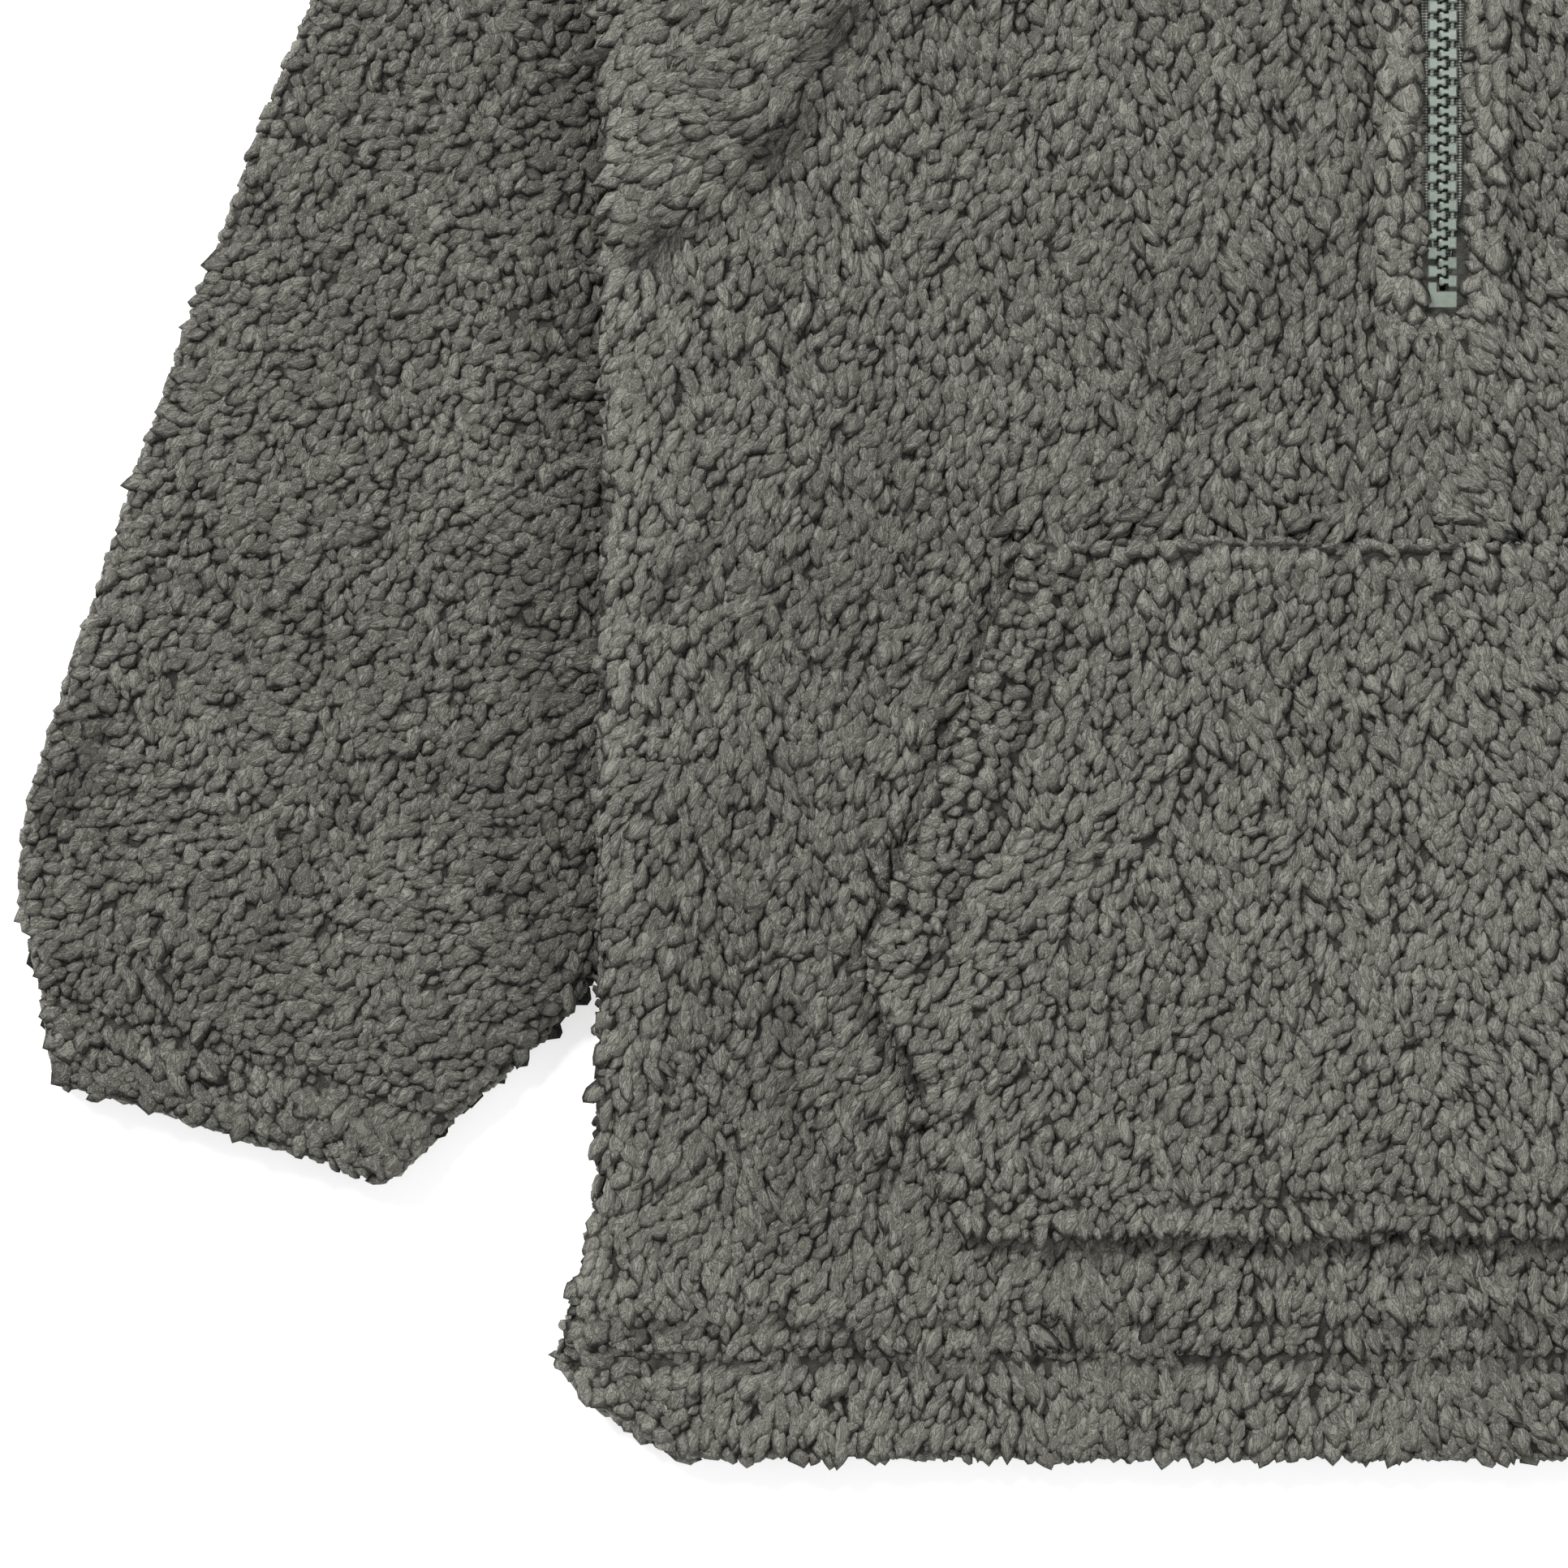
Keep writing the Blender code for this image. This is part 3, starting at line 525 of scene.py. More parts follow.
# Front. One piece of fleece from hem to neck, slit for the zip, with a turned hem and a topstitched
# placket. Its pile is combed down and out towards the sides, most of all outside the underarm crease.
HEM_STITCH = 31.5
HEM_SECOND = 43.0
CORNER_GROOVE = 248.0
ARMHOLE = 450.0
PLACKET_STITCH = 21.0
PLACKET_FOOT = 347.5
SLIT_FOOT = 352.0
SIDE_HEIGHTS = (0, 10, 20, 30, 40, 60, 80, 120, 150, 250, 300, 450, 628)
SIDE_HALVES = (235, 255, 268, 275, 273, 266, 261, 262.5, 260.5, 261, 258.5, 258.5, 270)
POCKET_HEIGHTS = (70, 80, 95, 119, 151, 283)
POCKET_HALVES = (143, 152, 158, 162, 179, 128)
CREASE = ((-150, 512), (-179, 450), (-206, 399), (-246, 372))
SMALL_CREASE = ((-224, 288), (-241, 264))
SOFT_FOLD = ((-201, 140), (-203, 78))
# What the pocket covers, where locks stand up over its top edge, and the painted shade beside and above it
COVERED_FOOT = 78
COVERED_TOP = 276
SHADE_FOOT = 119.0
SHADE_TOP = 286.0
STANDING_AT = 287.5
STANDING_HALF = 134
# Half widths without pile along the placket's stitched line and over the chain: wearer's left, right
LINE_HALVES = (0.4, 1.5)
ZIP_OPENINGS = (8.6, 7.4)
ZIP_OPEN_FOOT = 354.0


def facing_up(points, normals):
    height = points[:, 1] / MM + GARMENT_LENGTH / 2
    return np.maximum(normals[:, 2], facing_aside(points, normals)) - normals[:, 1] * (height < 10.0)


def facing_aside(points, normals):
    """How far a point of the body faces out to its side, where no sleeve is set against it."""
    height = points[:, 1] / MM + GARMENT_LENGTH / 2
    return normals[:, 0] * np.sign(points[:, 0]) * np.where(height > ARMHOLE, 0.15, 1.0)


def stitched(above, half=1.7, reach=9.0):
    """How locks behave by a stitched line, from how far up the nap from it they are rooted.

    Gives the share lost in the line itself and, above it, how far the locks are cut short and bent in.
    """
    return 1.0 * (np.abs(above) < half), smooth((reach - above) / 5.0) * (above >= 0.0)


def placket_line(x):
    """Where the placket's stitched line parts the pile."""
    return np.abs(np.abs(x) - PLACKET_STITCH) < np.where(x > 0, *LINE_HALVES)


def front_fields(x, h, z, normals):
    away = np.abs(x)
    edge = np.interp(h, SIDE_HEIGHTS, SIDE_HALVES) - away
    at_side = smooth((26.0 - edge) / 22.0)
    crease = segment_distance(x, h, CREASE)
    valley = np.maximum(near(crease, 9.0), 0.8 * near(segment_distance(x, h, SMALL_CREASE), 7.0))
    valley = np.maximum(valley, 0.4 * near(segment_distance(x, h, SOFT_FOLD), 9.0))
    valley = valley * np.clip(0.7 + 0.4 * np.sin(h / 5.3) + 0.3 * np.sin(h / 2.1 + x / 3.0), 0.1, 1.0)
    rising = CREASE[::-1]
    outside = away > np.interp(h, [at[1] for at in rising], [-at[0] for at in rising])
    combed = outside * smooth((h - 345.0) / 40.0) * smooth((95.0 - crease) / 40.0)
    placket = smooth((PLACKET_STITCH - away) / 3.0) * smooth((h - PLACKET_FOOT) / 3.0)
    corner = smooth((62.0 - h) / 26.0) * smooth((away - 215.0) / 30.0)
    angle = 4.0 + 16.0 * smooth(away / 210.0) + 8.0 * at_side + 34.0 * combed + 12.0 * corner
    angle = np.where(placket > 0.5, np.where(x > 0, -16.0, 4.0), angle)
    hem_line = h - HEM_STITCH - 1.2 * np.sin(x / 11.0) - 0.8 * np.sin(x / 4.7)
    hem_gap, hem_bent = stitched(hem_line, 1.2)
    second_line = h - HEM_SECOND - 1.3 * np.sin(x / 9.0) - 0.6 * np.sin(x / 3.9)
    second_gap, second_bent = stitched(second_line, 0.5, 8.0)
    foot_gap, foot_bent = stitched(h - PLACKET_FOOT, 0.9)
    foot_bent = foot_bent * (away < PLACKET_STITCH)
    faint = np.maximum(near(second_line, 3.0), 0.8 * near(hem_line, 3.5)) * (1.0 - 0.5 * corner)
    upright = near(away - CORNER_GROOVE, 4.0) * smooth((50.0 - h) / 10.0)
    line = placket_line(x) * (h > PLACKET_FOOT - 1.0)
    beside = near(away - PLACKET_STITCH, 7.0) * (h > PLACKET_FOOT - 2.0)
    by_zip = near(away - 7.0, 7.0) * (h > SLIT_FOOT)
    bent = np.maximum(np.maximum(hem_bent, 0.7 * second_bent), foot_bent)
    ends = smooth((10.0 - h) / 7.0)
    standing = smooth((8.0 - np.abs(h - STANDING_AT)) / 3.0) * (away < STANDING_HALF)
    under = np.interp(h, POCKET_HEIGHTS, POCKET_HALVES) - away
    hidden = (under > 10) * (h > COVERED_FOOT) * (h < COVERED_TOP)
    shaded = near(under + 3.0, 5.0) * (h > SHADE_FOOT) * (h < POCKET_HEIGHTS[-1])
    shaded = np.maximum(shaded, 0.3 * near(h - SHADE_TOP, 4.0) * (away < POCKET_HALVES[-1]))
    zip_open = (away < np.where(x > 0, *ZIP_OPENINGS)) * (h > ZIP_OPEN_FOOT)
    foot_lost = (foot_gap > 0) & (away < PLACKET_STITCH)
    lost = (hidden > 0) | (zip_open > 0) | (line > 0) | (hem_gap > 0) | foot_lost
    lost = lost | (second_gap > 0) | (normals[:, 2] < -0.25)
    length = 1.0 + 0.2 * combed * (1.0 - at_side) + 0.2 * placket + 0.2 * standing
    length = length * (1.0 - 0.4 * bent) * (1.0 - 0.45 * ends)
    length = length * (1.0 - 0.55 * by_zip) * (1.0 - 0.25 * corner)
    width = 1.0 - 0.3 * beside + 0.5 * placket + 0.35 * corner
    width = width * (1.0 - 0.3 * by_zip) * (1.0 + 0.1 * combed)
    mess = (1.0 - 0.5 * at_side) * (1.0 - 0.7 * beside)
    mess = mess * (1.0 - 0.6 * by_zip) * (1.0 + 0.4 * standing)
    return heading(angle, np.sign(x)), {
        "length": length,
        "width": width,
        "depth": 1.0 - 0.5 * faint - 0.25 * beside - 0.3 * placket - 0.3 * valley - 0.4 * upright,
        "lift": -0.28 * bent - 0.2 * smooth((8.0 - h) / 6.0) - 0.3 * valley - 0.15 * shaded
        + 0.4 * standing,
        # Painted light and shade: painted sheen on the placket and painted light on the side roll; painted
        # shade in the creases, along the stitched lines and grooves, and beside and above the pocket; a
        # little lighter towards the hem.
        "tone": 0.7 * placket + 0.4 * at_side - 2.0 * valley - 0.3 * beside - 0.7 * upright - 1.6 * faint
        - 1.1 * shaded + 0.25 * smooth((68.0 - h) / 10.0),
        "mess": mess,
        "keep": 1.0 * ~lost,
    }


def segment_distance(x, h, line):
    """Distance from a broken line and its mirror image, in millimetres."""
    best = np.full_like(x, 1e9)
    for (x0, h0), (x1, h1) in zip(line[:-1], line[1:]):
        run = np.array((x1 - x0, h1 - h0), float)
        share = ((-np.abs(x) - x0) * run[0] + (h - h0) * run[1]) / run.dot(run)
        share = np.clip(share, 0.0, 1.0)
        best = np.minimum(best, np.hypot(-np.abs(x) - x0 - share * run[0], h - h0 - share * run[1]))
    return best


front = cloth_shell("front", 2.6 * MM, facing_up)
FRONT_SPLIT = 110
front_parts = (
    ("outer_right", lambda x, h, normals: x < -FRONT_SPLIT),
    ("inner_right", lambda x, h, normals: (x >= -FRONT_SPLIT) & (x < 0)),
    ("inner_left", lambda x, h, normals: (x >= 0) & (x < FRONT_SPLIT)),
    ("outer_left", lambda x, h, normals: x >= FRONT_SPLIT),
)
for at, (name, part) in enumerate(front_parts):
    laid = ("front_pile_" + name, front, facing_up, front_fields, part)
    lay_pile(*laid, Spacing=0.0029, Size=0.88, Seed=11 + at)


# Pocket. A six-sided patch of the same fleece, open along its two slanting sides, where the edge is
# turned in and stitched, and sewn down along the top, the foot and the short lower sides.
POCKET_FOOT = 70.0
POCKET_TOP = 283.0
MOUTH_FOOT = 151.0
TOP_STITCH = 273.0
TOP_ROLL = 279.0
MOUTH_STITCH_IN = 21.0


def pocket_fields(x, h, z, normals):
    away = np.abs(x)
    half = np.interp(h, POCKET_HEIGHTS, POCKET_HALVES)
    mouth = smooth((h - MOUTH_FOOT + 6.0) / 10.0) * smooth((POCKET_TOP - h) / 8.0)
    band = mouth * smooth((away - half + 23.0) / 6.0)
    nap = heading(6.0 + 14.0 * smooth(away / 150.0) + 46.0 * band, np.sign(x))
    foot_line = h - POCKET_FOOT - 10.5 - np.sin(x / 8.0) - 0.7 * np.sin(x / 3.1)
    foot_gap, foot_bent = stitched(foot_line, 1.1, 8.0)
    line = mouth * near(away - half + MOUTH_STITCH_IN + 1.5 * np.sin(h / 5.0), 4.0)
    top_line = near(h - TOP_STITCH, 4.0)
    roll = near(h - TOP_ROLL, 6.0)
    ends = smooth((6.0 - (h - POCKET_FOOT)) / 5.0)
    return nap, {
        "length": (0.95 - 0.2 * band) * (1.0 - 0.4 * foot_bent) * (1.0 - 0.2 * line - 0.4 * ends),
        "width": 1.0 - 0.15 * line + 0.15 * band + 0.25 * roll,
        "depth": 1.0 + 0.15 * band - 0.3 * line + 0.2 * roll,
        "lift": -0.25 * foot_bent + 0.1 * roll,
        # Painted shade along the mouth's stitched line and the top stitched line; lighter overall, on the
        # mouth's band and on the top roll.
        "tone": 0.25 + 0.15 * band - 1.3 * line - 0.4 * top_line + 0.25 * roll,
        "mess": 1.0 + 0.7 * band,
        "keep": 1.0 - foot_gap,
    }


def facing_out(points, normals):
    return normals[:, 2] + 0.8 * np.hypot(normals[:, 0], normals[:, 1])


pocket = cloth_shell("pocket", 2.2 * MM, facing_out)
pocket_pile = lay_pile("pocket_pile", pocket, facing_out, pocket_fields, Spacing=0.003, Size=0.88, Seed=21)


# Back. One piece from hem to neck, seamed to the front at the sides and shoulders. It lies on the
# table, so its pile is pressed flat there and only its edges show from above.
def facing_down(points, normals):
    height = points[:, 1] / MM + GARMENT_LENGTH / 2
    return np.maximum(-normals[:, 2], facing_aside(points, normals)) - normals[:, 1] * (height < 10.0)


def back_fields(x, h, z, normals):
    edge = np.interp(h, SIDE_HEIGHTS, SIDE_HALVES) - np.abs(x)
    at_side = smooth((22.0 - edge) / 18.0)
    resting = smooth((-normals[:, 2] - 0.6) / 0.3)
    ends = smooth((16.0 - h) / 8.0)
    corner = smooth((34.0 - h) / 14.0) * smooth((np.abs(x) - 200.0) / 20.0)
    pressed = (corner > 0.3) & (normals[:, 2] < -0.2)
    return heading(6.0 + 6.0 * at_side * (1.0 - resting), np.sign(x)), {
        "length": (1.0 - 0.5 * at_side) * (1.0 - 0.5 * ends) * (1.0 - 0.4 * corner),
        "depth": 1.0 - 0.5 * resting - 0.4 * near(h - HEM_STITCH, 3.5),
        "lift": -0.1 * resting,
        # Painted light: the rim's locks at the sides and the hem corners lie low in shade and are drawn
        # lighter.
        "tone": 0.9 * at_side + 0.5 * corner,
        "mess": (1.0 - 0.6 * resting) * (1.0 - 0.5 * at_side),
        "keep": (1.0 - resting * ((h < 32.0) | (edge < 13.0))) * ~pressed,
    }


def on_rim(x, h, normals):
    return normals[:, 2] > -0.85


def on_table(x, h, normals):
    return normals[:, 2] <= -0.85


back = cloth_shell("back", 1.8 * MM, facing_down)
back_pile = [
    lay_pile("back_pile_rim", back, facing_down, back_fields, on_rim, Spacing=0.003, Size=0.9, Seed=31),
    lay_pile("back_pile_under", back, facing_down, back_fields, on_table, Spacing=0.0074, Size=1.9, Seed=32),
]


# Sleeves. Each is one piece closed under the arm, set into a dropped armhole, with a turned cuff.
# The pile is short and round here, and combed aslant.
CUFF_STITCH = 24.0
SLEEVE_CREASE = ((-410, 229), (-427, 195))
SLEEVE_FOLD = ((-362, 157), (-338, 208))
SLEEVE_MIDDLE_HEIGHTS = (85, 117, 170, 230, 290, 350, 410, 470, 530, 628)
SLEEVE_MIDDLES = (330, 368, 350, 337, 318, 300, 283, 270, 262, 262)


def facing_round(points, normals):
    away = np.abs(points[:, 0]) / MM
    height = points[:, 1] / MM + GARMENT_LENGTH / 2
    middle = np.interp(height, SLEEVE_MIDDLE_HEIGHTS, SLEEVE_MIDDLES)
    radial = normals[:, 0] * np.sign(points[:, 0]) * np.sign(away - middle)
    radial = radial * np.where((away < middle) & (height > ARMHOLE), 0.15, 1.0)
    at_cuff = cuff_distance(away, height) < 4.0
    return np.maximum(normals[:, 2] * np.sign(points[:, 2] / MM - 6.0), radial) - normals[:, 1] * at_cuff


def sleeve_fields(x, h, z, normals):
    away = np.abs(x)
    cuff = cuff_distance(away, h)
    rim = smooth((1.0 - np.abs(normals[:, 2])) / 0.6)
    resting = smooth((-normals[:, 2] - 0.5) / 0.4)
    angle = 44.0 - 18.0 * smooth((30.0 - cuff) / 10.0) - 20.0 * rim
    gap, bent = stitched(cuff - CUFF_STITCH, 0.9, 8.0)
    ends = smooth((9.0 - cuff) / 6.0)
    hemmed = smooth((CUFF_STITCH + 2.0 - cuff) / 6.0)
    tucked = (away < np.interp(h, SIDE_HEIGHTS, SIDE_HALVES) - 14) * (h > 130)
    short = resting * (cuff < 14.0)
    valley = np.maximum(
        near(segment_distance(x, h, SLEEVE_CREASE), 7.0), 0.5 * near(segment_distance(x, h, SLEEVE_FOLD), 9.0)
    )
    valley = valley * (normals[:, 2] > 0)
    return heading(np.where(resting > 0.5, -22.0, angle), np.sign(x)), {
        "length": (0.9 - 0.25 * resting) * (1.0 - 0.4 * bent) * (1.0 - 0.45 * ends),
        "width": 1.1 - 0.1 * resting + 0.3 * hemmed,
        "depth": 1.05 - 0.55 * resting - 0.25 * valley,
        "lift": -0.25 * bent - 0.15 * smooth((7.0 - cuff) / 5.0),
        # Painted shadow of the body's edge on the sleeve beside it, painted light on the rims and painted
        # shade in the crease and fold; a little darker overall.
        "tone": -0.5 * smooth((300.0 - away) / 34.0) * (h > 120) + 0.25 * rim - 1.2 * valley - 0.1,
        "mess": 1.0 - 0.6 * resting,
        "keep": (1.0 - gap) * ~((tucked > 0) | (short > 0.5)),
    }


def cuff_distance(away, h):
    """Distance up the sleeve from the cuff's edge, which runs from its outer to its inner corner."""
    start, end = np.array((430.0, 117.0)), np.array((324.0, 84.5))
    run = (end - start) / np.hypot(*(end - start))
    return (away - start[0]) * run[1] - (h - start[1]) * run[0]


sleeves = {}
for name, seed in (("sleeve_right", 41), ("sleeve_left", 42)):
    sleeves[name] = cloth_shell(name, 2.2 * MM, facing_round)
    laid = (sleeves[name], facing_round, sleeve_fields)
    upper = lay_pile(name + "_pile", *laid, on_rim, Spacing=0.0028, Size=0.8, Yaw=0.6, Seed=seed)
    under = lay_pile(name + "_pile_under", *laid, on_table, Spacing=0.0055, Size=1.4, Seed=seed + 10)


# Collar. A stand collar of one strip, open at the zip, with its pile outside and the knitted ground
# inside, which shows behind the dip of its front edge.
NECK_FOOT = 632.0
NECK_RISE = 53.0
NECK_HALF = 98.0
COLLAR_OPENINGS = (8.6, 6.9)


def facing_collar(points, normals):
    up = normals[:, 2] * np.sign(points[:, 2] / MM - 6.75)
    return np.maximum(up, normals[:, 0] * np.sign(points[:, 0]))


def collar_fields(x, h, z, normals):
    away = np.abs(x)
    in_front = z > 8.0
    beside = near(away - PLACKET_STITCH, 6.0) * in_front
    placket = smooth((PLACKET_STITCH - away) / 3.0) * in_front
    resting = smooth((-normals[:, 2] - 0.5) / 0.4)
    # The locks just over the neck seam are longer, and lie down over it
    over_seam = smooth((11.0 - h + NECK_FOOT + NECK_RISE * (away / NECK_HALF) ** 2) / 5.0) * in_front
    line = placket_line(x) * in_front
    zip_open = (away < np.where(x > 0, *COLLAR_OPENINGS)) * in_front
    return heading(8.0 + 10.0 * smooth(away / 90.0), np.sign(x)), {
        "length": (1.0 - 0.2 * beside - 0.3 * near(away - 7.0, 7.0) * in_front) * (1.0 + 0.45 * over_seam),
        "width": (1.0 - 0.4 * beside) * (1.0 + 0.2 * over_seam),
        "depth": 1.0 - 0.25 * beside - 0.2 * placket - 0.4 * resting,
        "lift": -0.2 * over_seam,
        # Painted sheen: the placket's pile is drawn lighter.
        "tone": 0.5 * placket,
        "keep": 1.0 * ~((line > 0) | (zip_open > 0)),
    }


collar = cloth_shell("collar", 2.2 * MM, facing_collar)
collar_pile = lay_pile("collar_pile", collar, facing_collar, collar_fields, Spacing=0.0031, Size=0.9, Seed=51)

bpy.data.batch_remove(list(lock_forms.objects))
bpy.data.collections.remove(lock_forms)


# Zip tapes. Two woven polyester tapes, dyed with the cloth, with fine ribs across them. Each is sewn
# under the slit's edge, and its inner selvedge carries a cord that the teeth are moulded round.
RIB_PITCH = 0.00092
WEFT_PITCH = 0.0013


def woven_material():
    made, tree, shader, add = new_material("woven_tape", 0.85, sheen=0.05)
    place = add("ShaderNodeTexCoord").outputs["Object"]
    across = add("ShaderNodeSeparateXYZ", {0: place})
    ribs = add("ShaderNodeMath", {0: across.outputs["Y"], 1: 2 * math.pi / RIB_PITCH}, operation="MULTIPLY")
    ribs = add("ShaderNodeMath", {0: ribs.outputs[0]}, operation="SINE").outputs[0]
    weft = add("ShaderNodeMath", {0: across.outputs["X"], 1: 2 * math.pi / WEFT_PITCH}, operation="MULTIPLY")
    weft = add("ShaderNodeMath", {0: weft.outputs[0]}, operation="SINE").outputs[0]
    fuzz = add("ShaderNodeTexNoise", {"Vector": place, "Scale": 2400.0, "Detail": 3.0}).outputs["Fac"]
    cloth = add("ShaderNodeMath", {0: weft, 1: 0.6, 2: ribs}, operation="MULTIPLY_ADD").outputs[0]
    cloth = add("ShaderNodeMath", {0: fuzz, 1: 1.4, 2: cloth}, operation="MULTIPLY_ADD").outputs[0]
    height = add("ShaderNodeMapRange", {"Value": cloth, "From Min": -1.3, "From Max": 2.6}).outputs[0]
    stops = ((0.0, (0.02, 0.022, 0.019)), (0.5, (0.14, 0.146, 0.127)), (1.0, (0.66, 0.67, 0.62)))
    tape_colour = colour_ramp(add, height, stops)
    aside = add("ShaderNodeMath", {0: across.outputs["X"]}, operation="ABSOLUTE").outputs[0]
    # Painted shade: the tape is drawn darker between the cords, under the teeth
    shade = {"Value": aside, "From Min": 0.0042, "From Max": 0.0049, "To Min": 0.22}
    between = add("ShaderNodeMapRange", shade)
    tape_colour = add("ShaderNodeVectorMath", {0: tape_colour, "Scale": between.outputs[0]}, operation="SCALE").outputs[0]
    tree.links.new(tape_colour, shader.inputs["Base Color"])
    bump = add("ShaderNodeBump", {"Strength": 0.9, "Distance": 0.00025, "Height": height})
    tree.links.new(bump.outputs[0], shader.inputs["Normal"])
    return made


def hard_copy(node, body, paint, bevel):
    """A bevelled copy of a hard solid or a tape, which replaces it."""
    form = bmesh.new()
    form.from_mesh(frame["nodes"][node].data)
    bmesh.ops.remove_doubles(form, verts=form.verts, dist=2e-5)
    bmesh.ops.dissolve_limit(form, angle_limit=0.02, verts=form.verts, edges=form.edges)
    mesh = bpy.data.meshes.new(node + "_form")
    form.to_mesh(mesh)
    form.free()
    copy = bpy.data.objects.new(node + "_form", mesh)
    bpy.context.scene.collection.objects.link(copy)
    rounding = copy.modifiers.new("rounding", "BEVEL")
    rounding.width = bevel
    rounding.segments = 2
    rounding.limit_method = "ANGLE"
    rounding.angle_limit = math.radians(32)
    rounding.use_clamp_overlap = True
    copy = finished(node + "_form", copy)
    copy.data.materials.clear()
    copy.data.materials.append(paint)
    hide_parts(node)
    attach(copy, body)


WOVEN = woven_material()
for side in ("right", "left"):
    hard_copy("zip_tape_" + side, "pullover", WOVEN, 0.15 * MM)


# Zip cords. A twisted polyester cord is woven into each tape's inner selvedge, from the stop up into
# the slider. The teeth are moulded round it, and it shows between them.
CORD_AT = 3.2
CORD_LEVEL = 10.3
CORD_RADIUS = 0.62
CORD_SIDES = 8
CORD_RINGS = 81
CORD_FOOT = 363.9
CORD_TOP = 684.0
CORD_TWIST = 0.0009


def cord_material():
    """Dyed cord with a fine twist drawn across it."""
    made, tree, shader, add = new_material("zip_cord", 0.8)
    twist = add("ShaderNodeSeparateXYZ", {0: add("ShaderNodeTexCoord").outputs["Object"]})
    twist = add("ShaderNodeMath", {0: twist.outputs["Y"], 1: 2 * math.pi / CORD_TWIST}, operation="MULTIPLY")
    twist = add("ShaderNodeMath", {0: twist.outputs[0]}, operation="SINE").outputs[0]
    twist = add("ShaderNodeMapRange", {"Value": twist, "From Min": -1.0}).outputs[0]
    stops = ((0.0, (0.16, 0.17, 0.15)), (1.0, (0.36, 0.38, 0.345)))
    tree.links.new(colour_ramp(add, twist, stops), shader.inputs["Base Color"])
    return made


CORD = cord_material()
for side, sign in (("right", -1.0), ("left", 1.0)):
    rings = np.linspace(CORD_FOOT, CORD_TOP, CORD_RINGS)
    turns = np.radians(np.arange(CORD_SIDES) * 360.0 / CORD_SIDES)
    points = [
        (
            (sign * CORD_AT + CORD_RADIUS * math.cos(turn)) * MM,
            (height - GARMENT_LENGTH / 2) * MM,
            (CORD_LEVEL + CORD_RADIUS * math.sin(turn)) * MM,
        )
        for height in rings
        for turn in turns
    ]
    faces = [tuple(range(CORD_SIDES)), tuple(reversed(range(len(points) - CORD_SIDES, len(points))))]
    for ring in range(len(rings) - 1):
        for at in range(CORD_SIDES):
            after = (at + 1) % CORD_SIDES
            low, high = ring * CORD_SIDES, (ring + 1) * CORD_SIDES
            faces.append((low + at, high + at, high + after, low + after))
    mesh = bpy.data.meshes.new("zip_cord_" + side)
    mesh.from_pydata(points, [], faces)
    mesh.shade_smooth()
    mesh.materials.append(CORD)
    cord = bpy.data.objects.new("zip_cord_" + side, mesh)
    bpy.context.scene.collection.objects.link(cord)
    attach(cord, "pullover")


# Zip teeth. Moulded acetal teeth, one row on each tape's cord, the two rows half a pitch apart. Each
# has a flat body on the tape, a narrow neck and a flared head that sits between two of the other row.
PITCH = 5.85
CHAIN_FOOT = 365.3
CHAIN_TOP = 684.0
TOOTH_LOW = 8.2
TOOTH_HIGH = 11.5
TOOTH_WANDER = (0.012, 0.012, 0.02)
TOOTH_OUTLINE = (
    (-4.6, -1.75), (-4.35, -1.95), (-2.05, -1.95), (-1.8, -1.7), (-1.75, -0.85), (-0.6, -0.8),
    (-0.1, -1.3), (0.75, -1.4), (1.15, -0.9), (1.15, 0.9), (0.75, 1.4), (-0.1, 1.3),
    (-0.6, 0.8), (-1.75, 0.85), (-1.8, 1.7), (-2.05, 1.95), (-4.35, 1.95), (-4.6, 1.75),
)


def plastic_material(name, colour, roughness):
    """Dyed moulded plastic, faintly cloudy, with a soft gloss and fine mould texture."""
    made, tree, shader, add = new_material(name, roughness)
    shader.inputs["Specular IOR Level"].default_value = 0.8
    place = add("ShaderNodeTexCoord").outputs["Object"]
    cloud = add("ShaderNodeTexNoise", {"Vector": place, "Scale": 420.0, "Detail": 3.0}).outputs["Fac"]
    darker = tuple(0.82 * c for c in colour)
    lighter = tuple(1.15 * c for c in colour)
    paint = colour_ramp(add, cloud, ((0.3, darker), (0.7, lighter)))
    tree.links.new(paint, shader.inputs["Base Color"])
    wear = add("ShaderNodeMapRange", {"Value": cloud, "To Min": roughness - 0.06, "To Max": roughness + 0.1})
    tree.links.new(wear.outputs[0], shader.inputs["Roughness"])
    grain = add("ShaderNodeTexNoise", {"Vector": place, "Scale": 5200.0, "Detail": 2.0}).outputs["Fac"]
    bump = add("ShaderNodeBump", {"Strength": 0.25, "Distance": 0.00005, "Height": grain})
    tree.links.new(bump.outputs[0], shader.inputs["Normal"])
    return made


def tooth_mesh(name, turned):
    """One tooth, flat underneath and bevelled on top, its head towards +X or, turned, towards -X."""
    layers = ((TOOTH_LOW, 0.0), (TOOTH_HIGH - 0.55, 0.0), (TOOTH_HIGH - 0.2, 0.14), (TOOTH_HIGH, 0.55))
    sign = -1.0 if turned else 1.0
    points = []
    for height, inset in layers:
        for x, y in TOOTH_OUTLINE:
            middle = -3.2 if x < -1.8 else 0.4
            near_x = x + inset * np.sign(middle - x) * (abs(x + 1.0) > 0.9)
            near_y = y - inset * np.sign(y) * (0.5 if -1.8 < x < -0.4 else 1.0)
            points.append((sign * near_x * MM, sign * near_y * MM, height * MM))
    count = len(TOOTH_OUTLINE)
    faces = [tuple(reversed(range(count))), tuple(range(3 * count, 4 * count))]
    for layer in (0, count, 2 * count):
        for at in range(count):
            after = (at + 1) % count
            faces.append((layer + at, layer + after, layer + count + after, layer + count + at))
    mesh = bpy.data.meshes.new(name)
    mesh.from_pydata(points, [], faces)
    return mesh


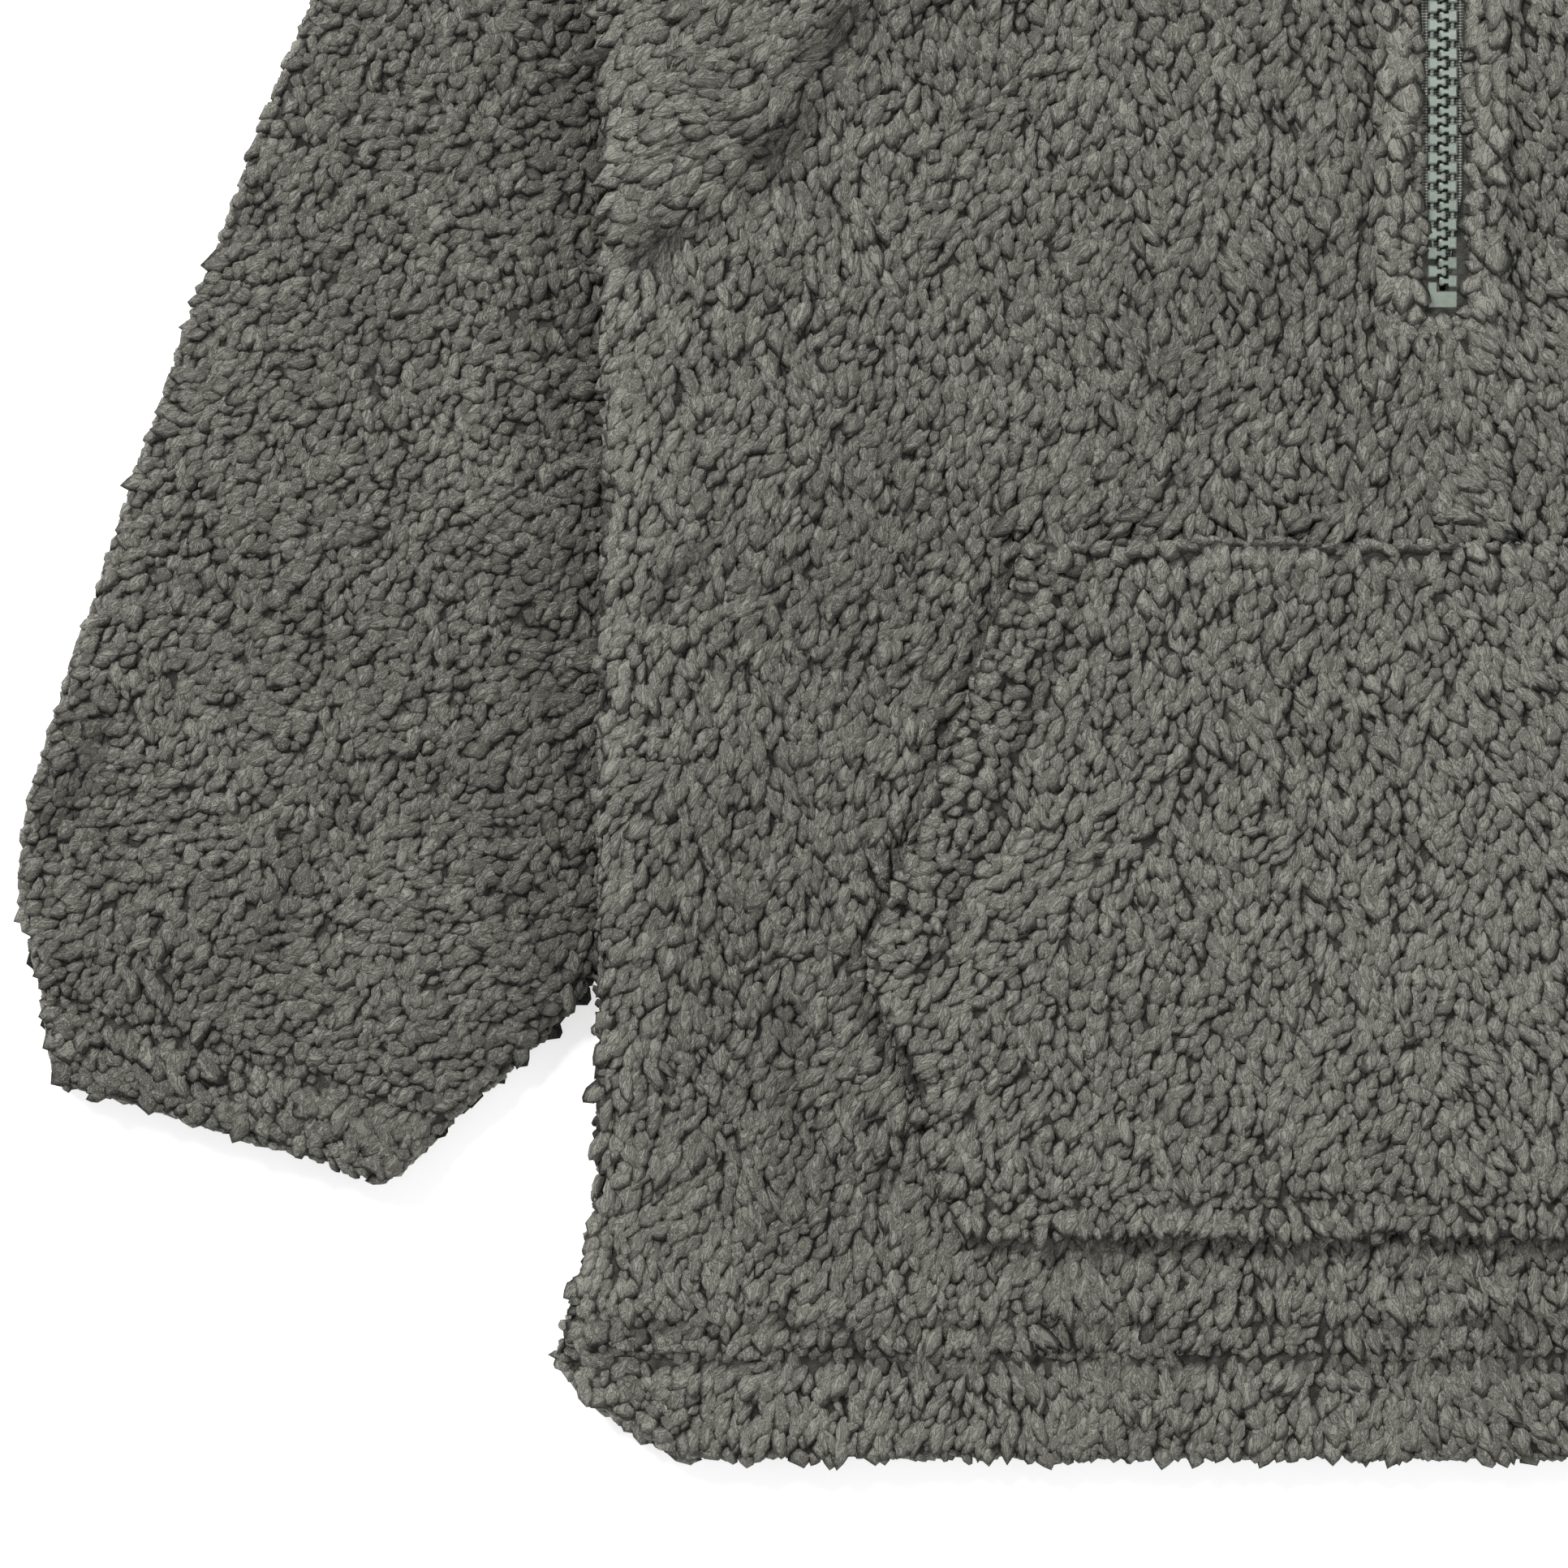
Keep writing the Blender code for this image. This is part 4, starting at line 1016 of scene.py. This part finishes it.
def row_tree(step_count, paint):
    """Geometry nodes that repeat one form up a line, each turned a little off it."""
    tree = bpy.data.node_groups.new("zip_row", "GeometryNodeTree")
    kinds = (("Form", "NodeSocketGeometry"), ("First", "NodeSocketFloat"), ("Pitch", "NodeSocketFloat"))
    for name, kind in kinds:
        tree.interface.new_socket(name=name, in_out="INPUT", socket_type=kind)
    tree.interface.new_socket(name="Row", in_out="OUTPUT", socket_type="NodeSocketGeometry")
    add = node_adder(tree)
    inside = add("NodeGroupInput")
    start = add("ShaderNodeCombineXYZ", {"Y": inside.outputs["First"]})
    step = add("ShaderNodeCombineXYZ", {"Y": inside.outputs["Pitch"]})
    line = add(
        "GeometryNodeMeshLine",
        {"Count": step_count, "Start Location": start.outputs[0], "Offset": step.outputs[0]},
    )
    least = tuple(-most for most in TOOTH_WANDER)
    wander = add("FunctionNodeRandomValue", {0: least, 1: TOOTH_WANDER, "Seed": 5}, data_type="FLOAT_VECTOR")
    placed = add(
        "GeometryNodeInstanceOnPoints",
        {"Points": line.outputs[0], "Instance": inside.outputs["Form"], "Rotation": wander.outputs[0]},
    )
    real = add("GeometryNodeRealizeInstances", {"Geometry": placed.outputs[0]})
    painted = add("GeometryNodeSetMaterial", {"Geometry": real.outputs[0], "Material": paint})
    tree.links.new(painted.outputs[0], add("NodeGroupOutput").inputs[0])
    return tree


PLASTIC = plastic_material("zip_moulding", (0.2, 0.252, 0.2), 0.29)
teeth_count = int((CHAIN_TOP - CHAIN_FOOT) / PITCH)
teeth_tree = row_tree(teeth_count, PLASTIC)
for name, turned, first in (("zip_teeth_right", False, 0.0), ("zip_teeth_left", True, -0.5)):
    row = bpy.data.objects.new(name + "_form", tooth_mesh(name, turned))
    bpy.context.scene.collection.objects.link(row)
    repeat = row.modifiers.new("row", "NODES")
    repeat.node_group = teeth_tree
    foot = CHAIN_FOOT + 1.0 + first * PITCH - GARMENT_LENGTH / 2
    set_inputs(repeat, First=foot * MM, Pitch=PITCH * MM)
    row = finished(name, row)
    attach(row, "pullover")


# Zip stop, slider and pull. The stop is moulded across both cords at the chain's foot. The slider is
# a cast body with a bridge, and its pull hangs on a crossbar under the bridge and swings up over it.
CAST = plastic_material("zip_cast", (0.15, 0.18, 0.15), 0.3)
hard_copy("zip_bottom_stop", "pullover", PLASTIC, 0.3 * MM)
hard_copy("zip_slider", "pullover", CAST, 0.35 * MM)
hard_copy("zip_pull", "pull", CAST, 0.25 * MM)
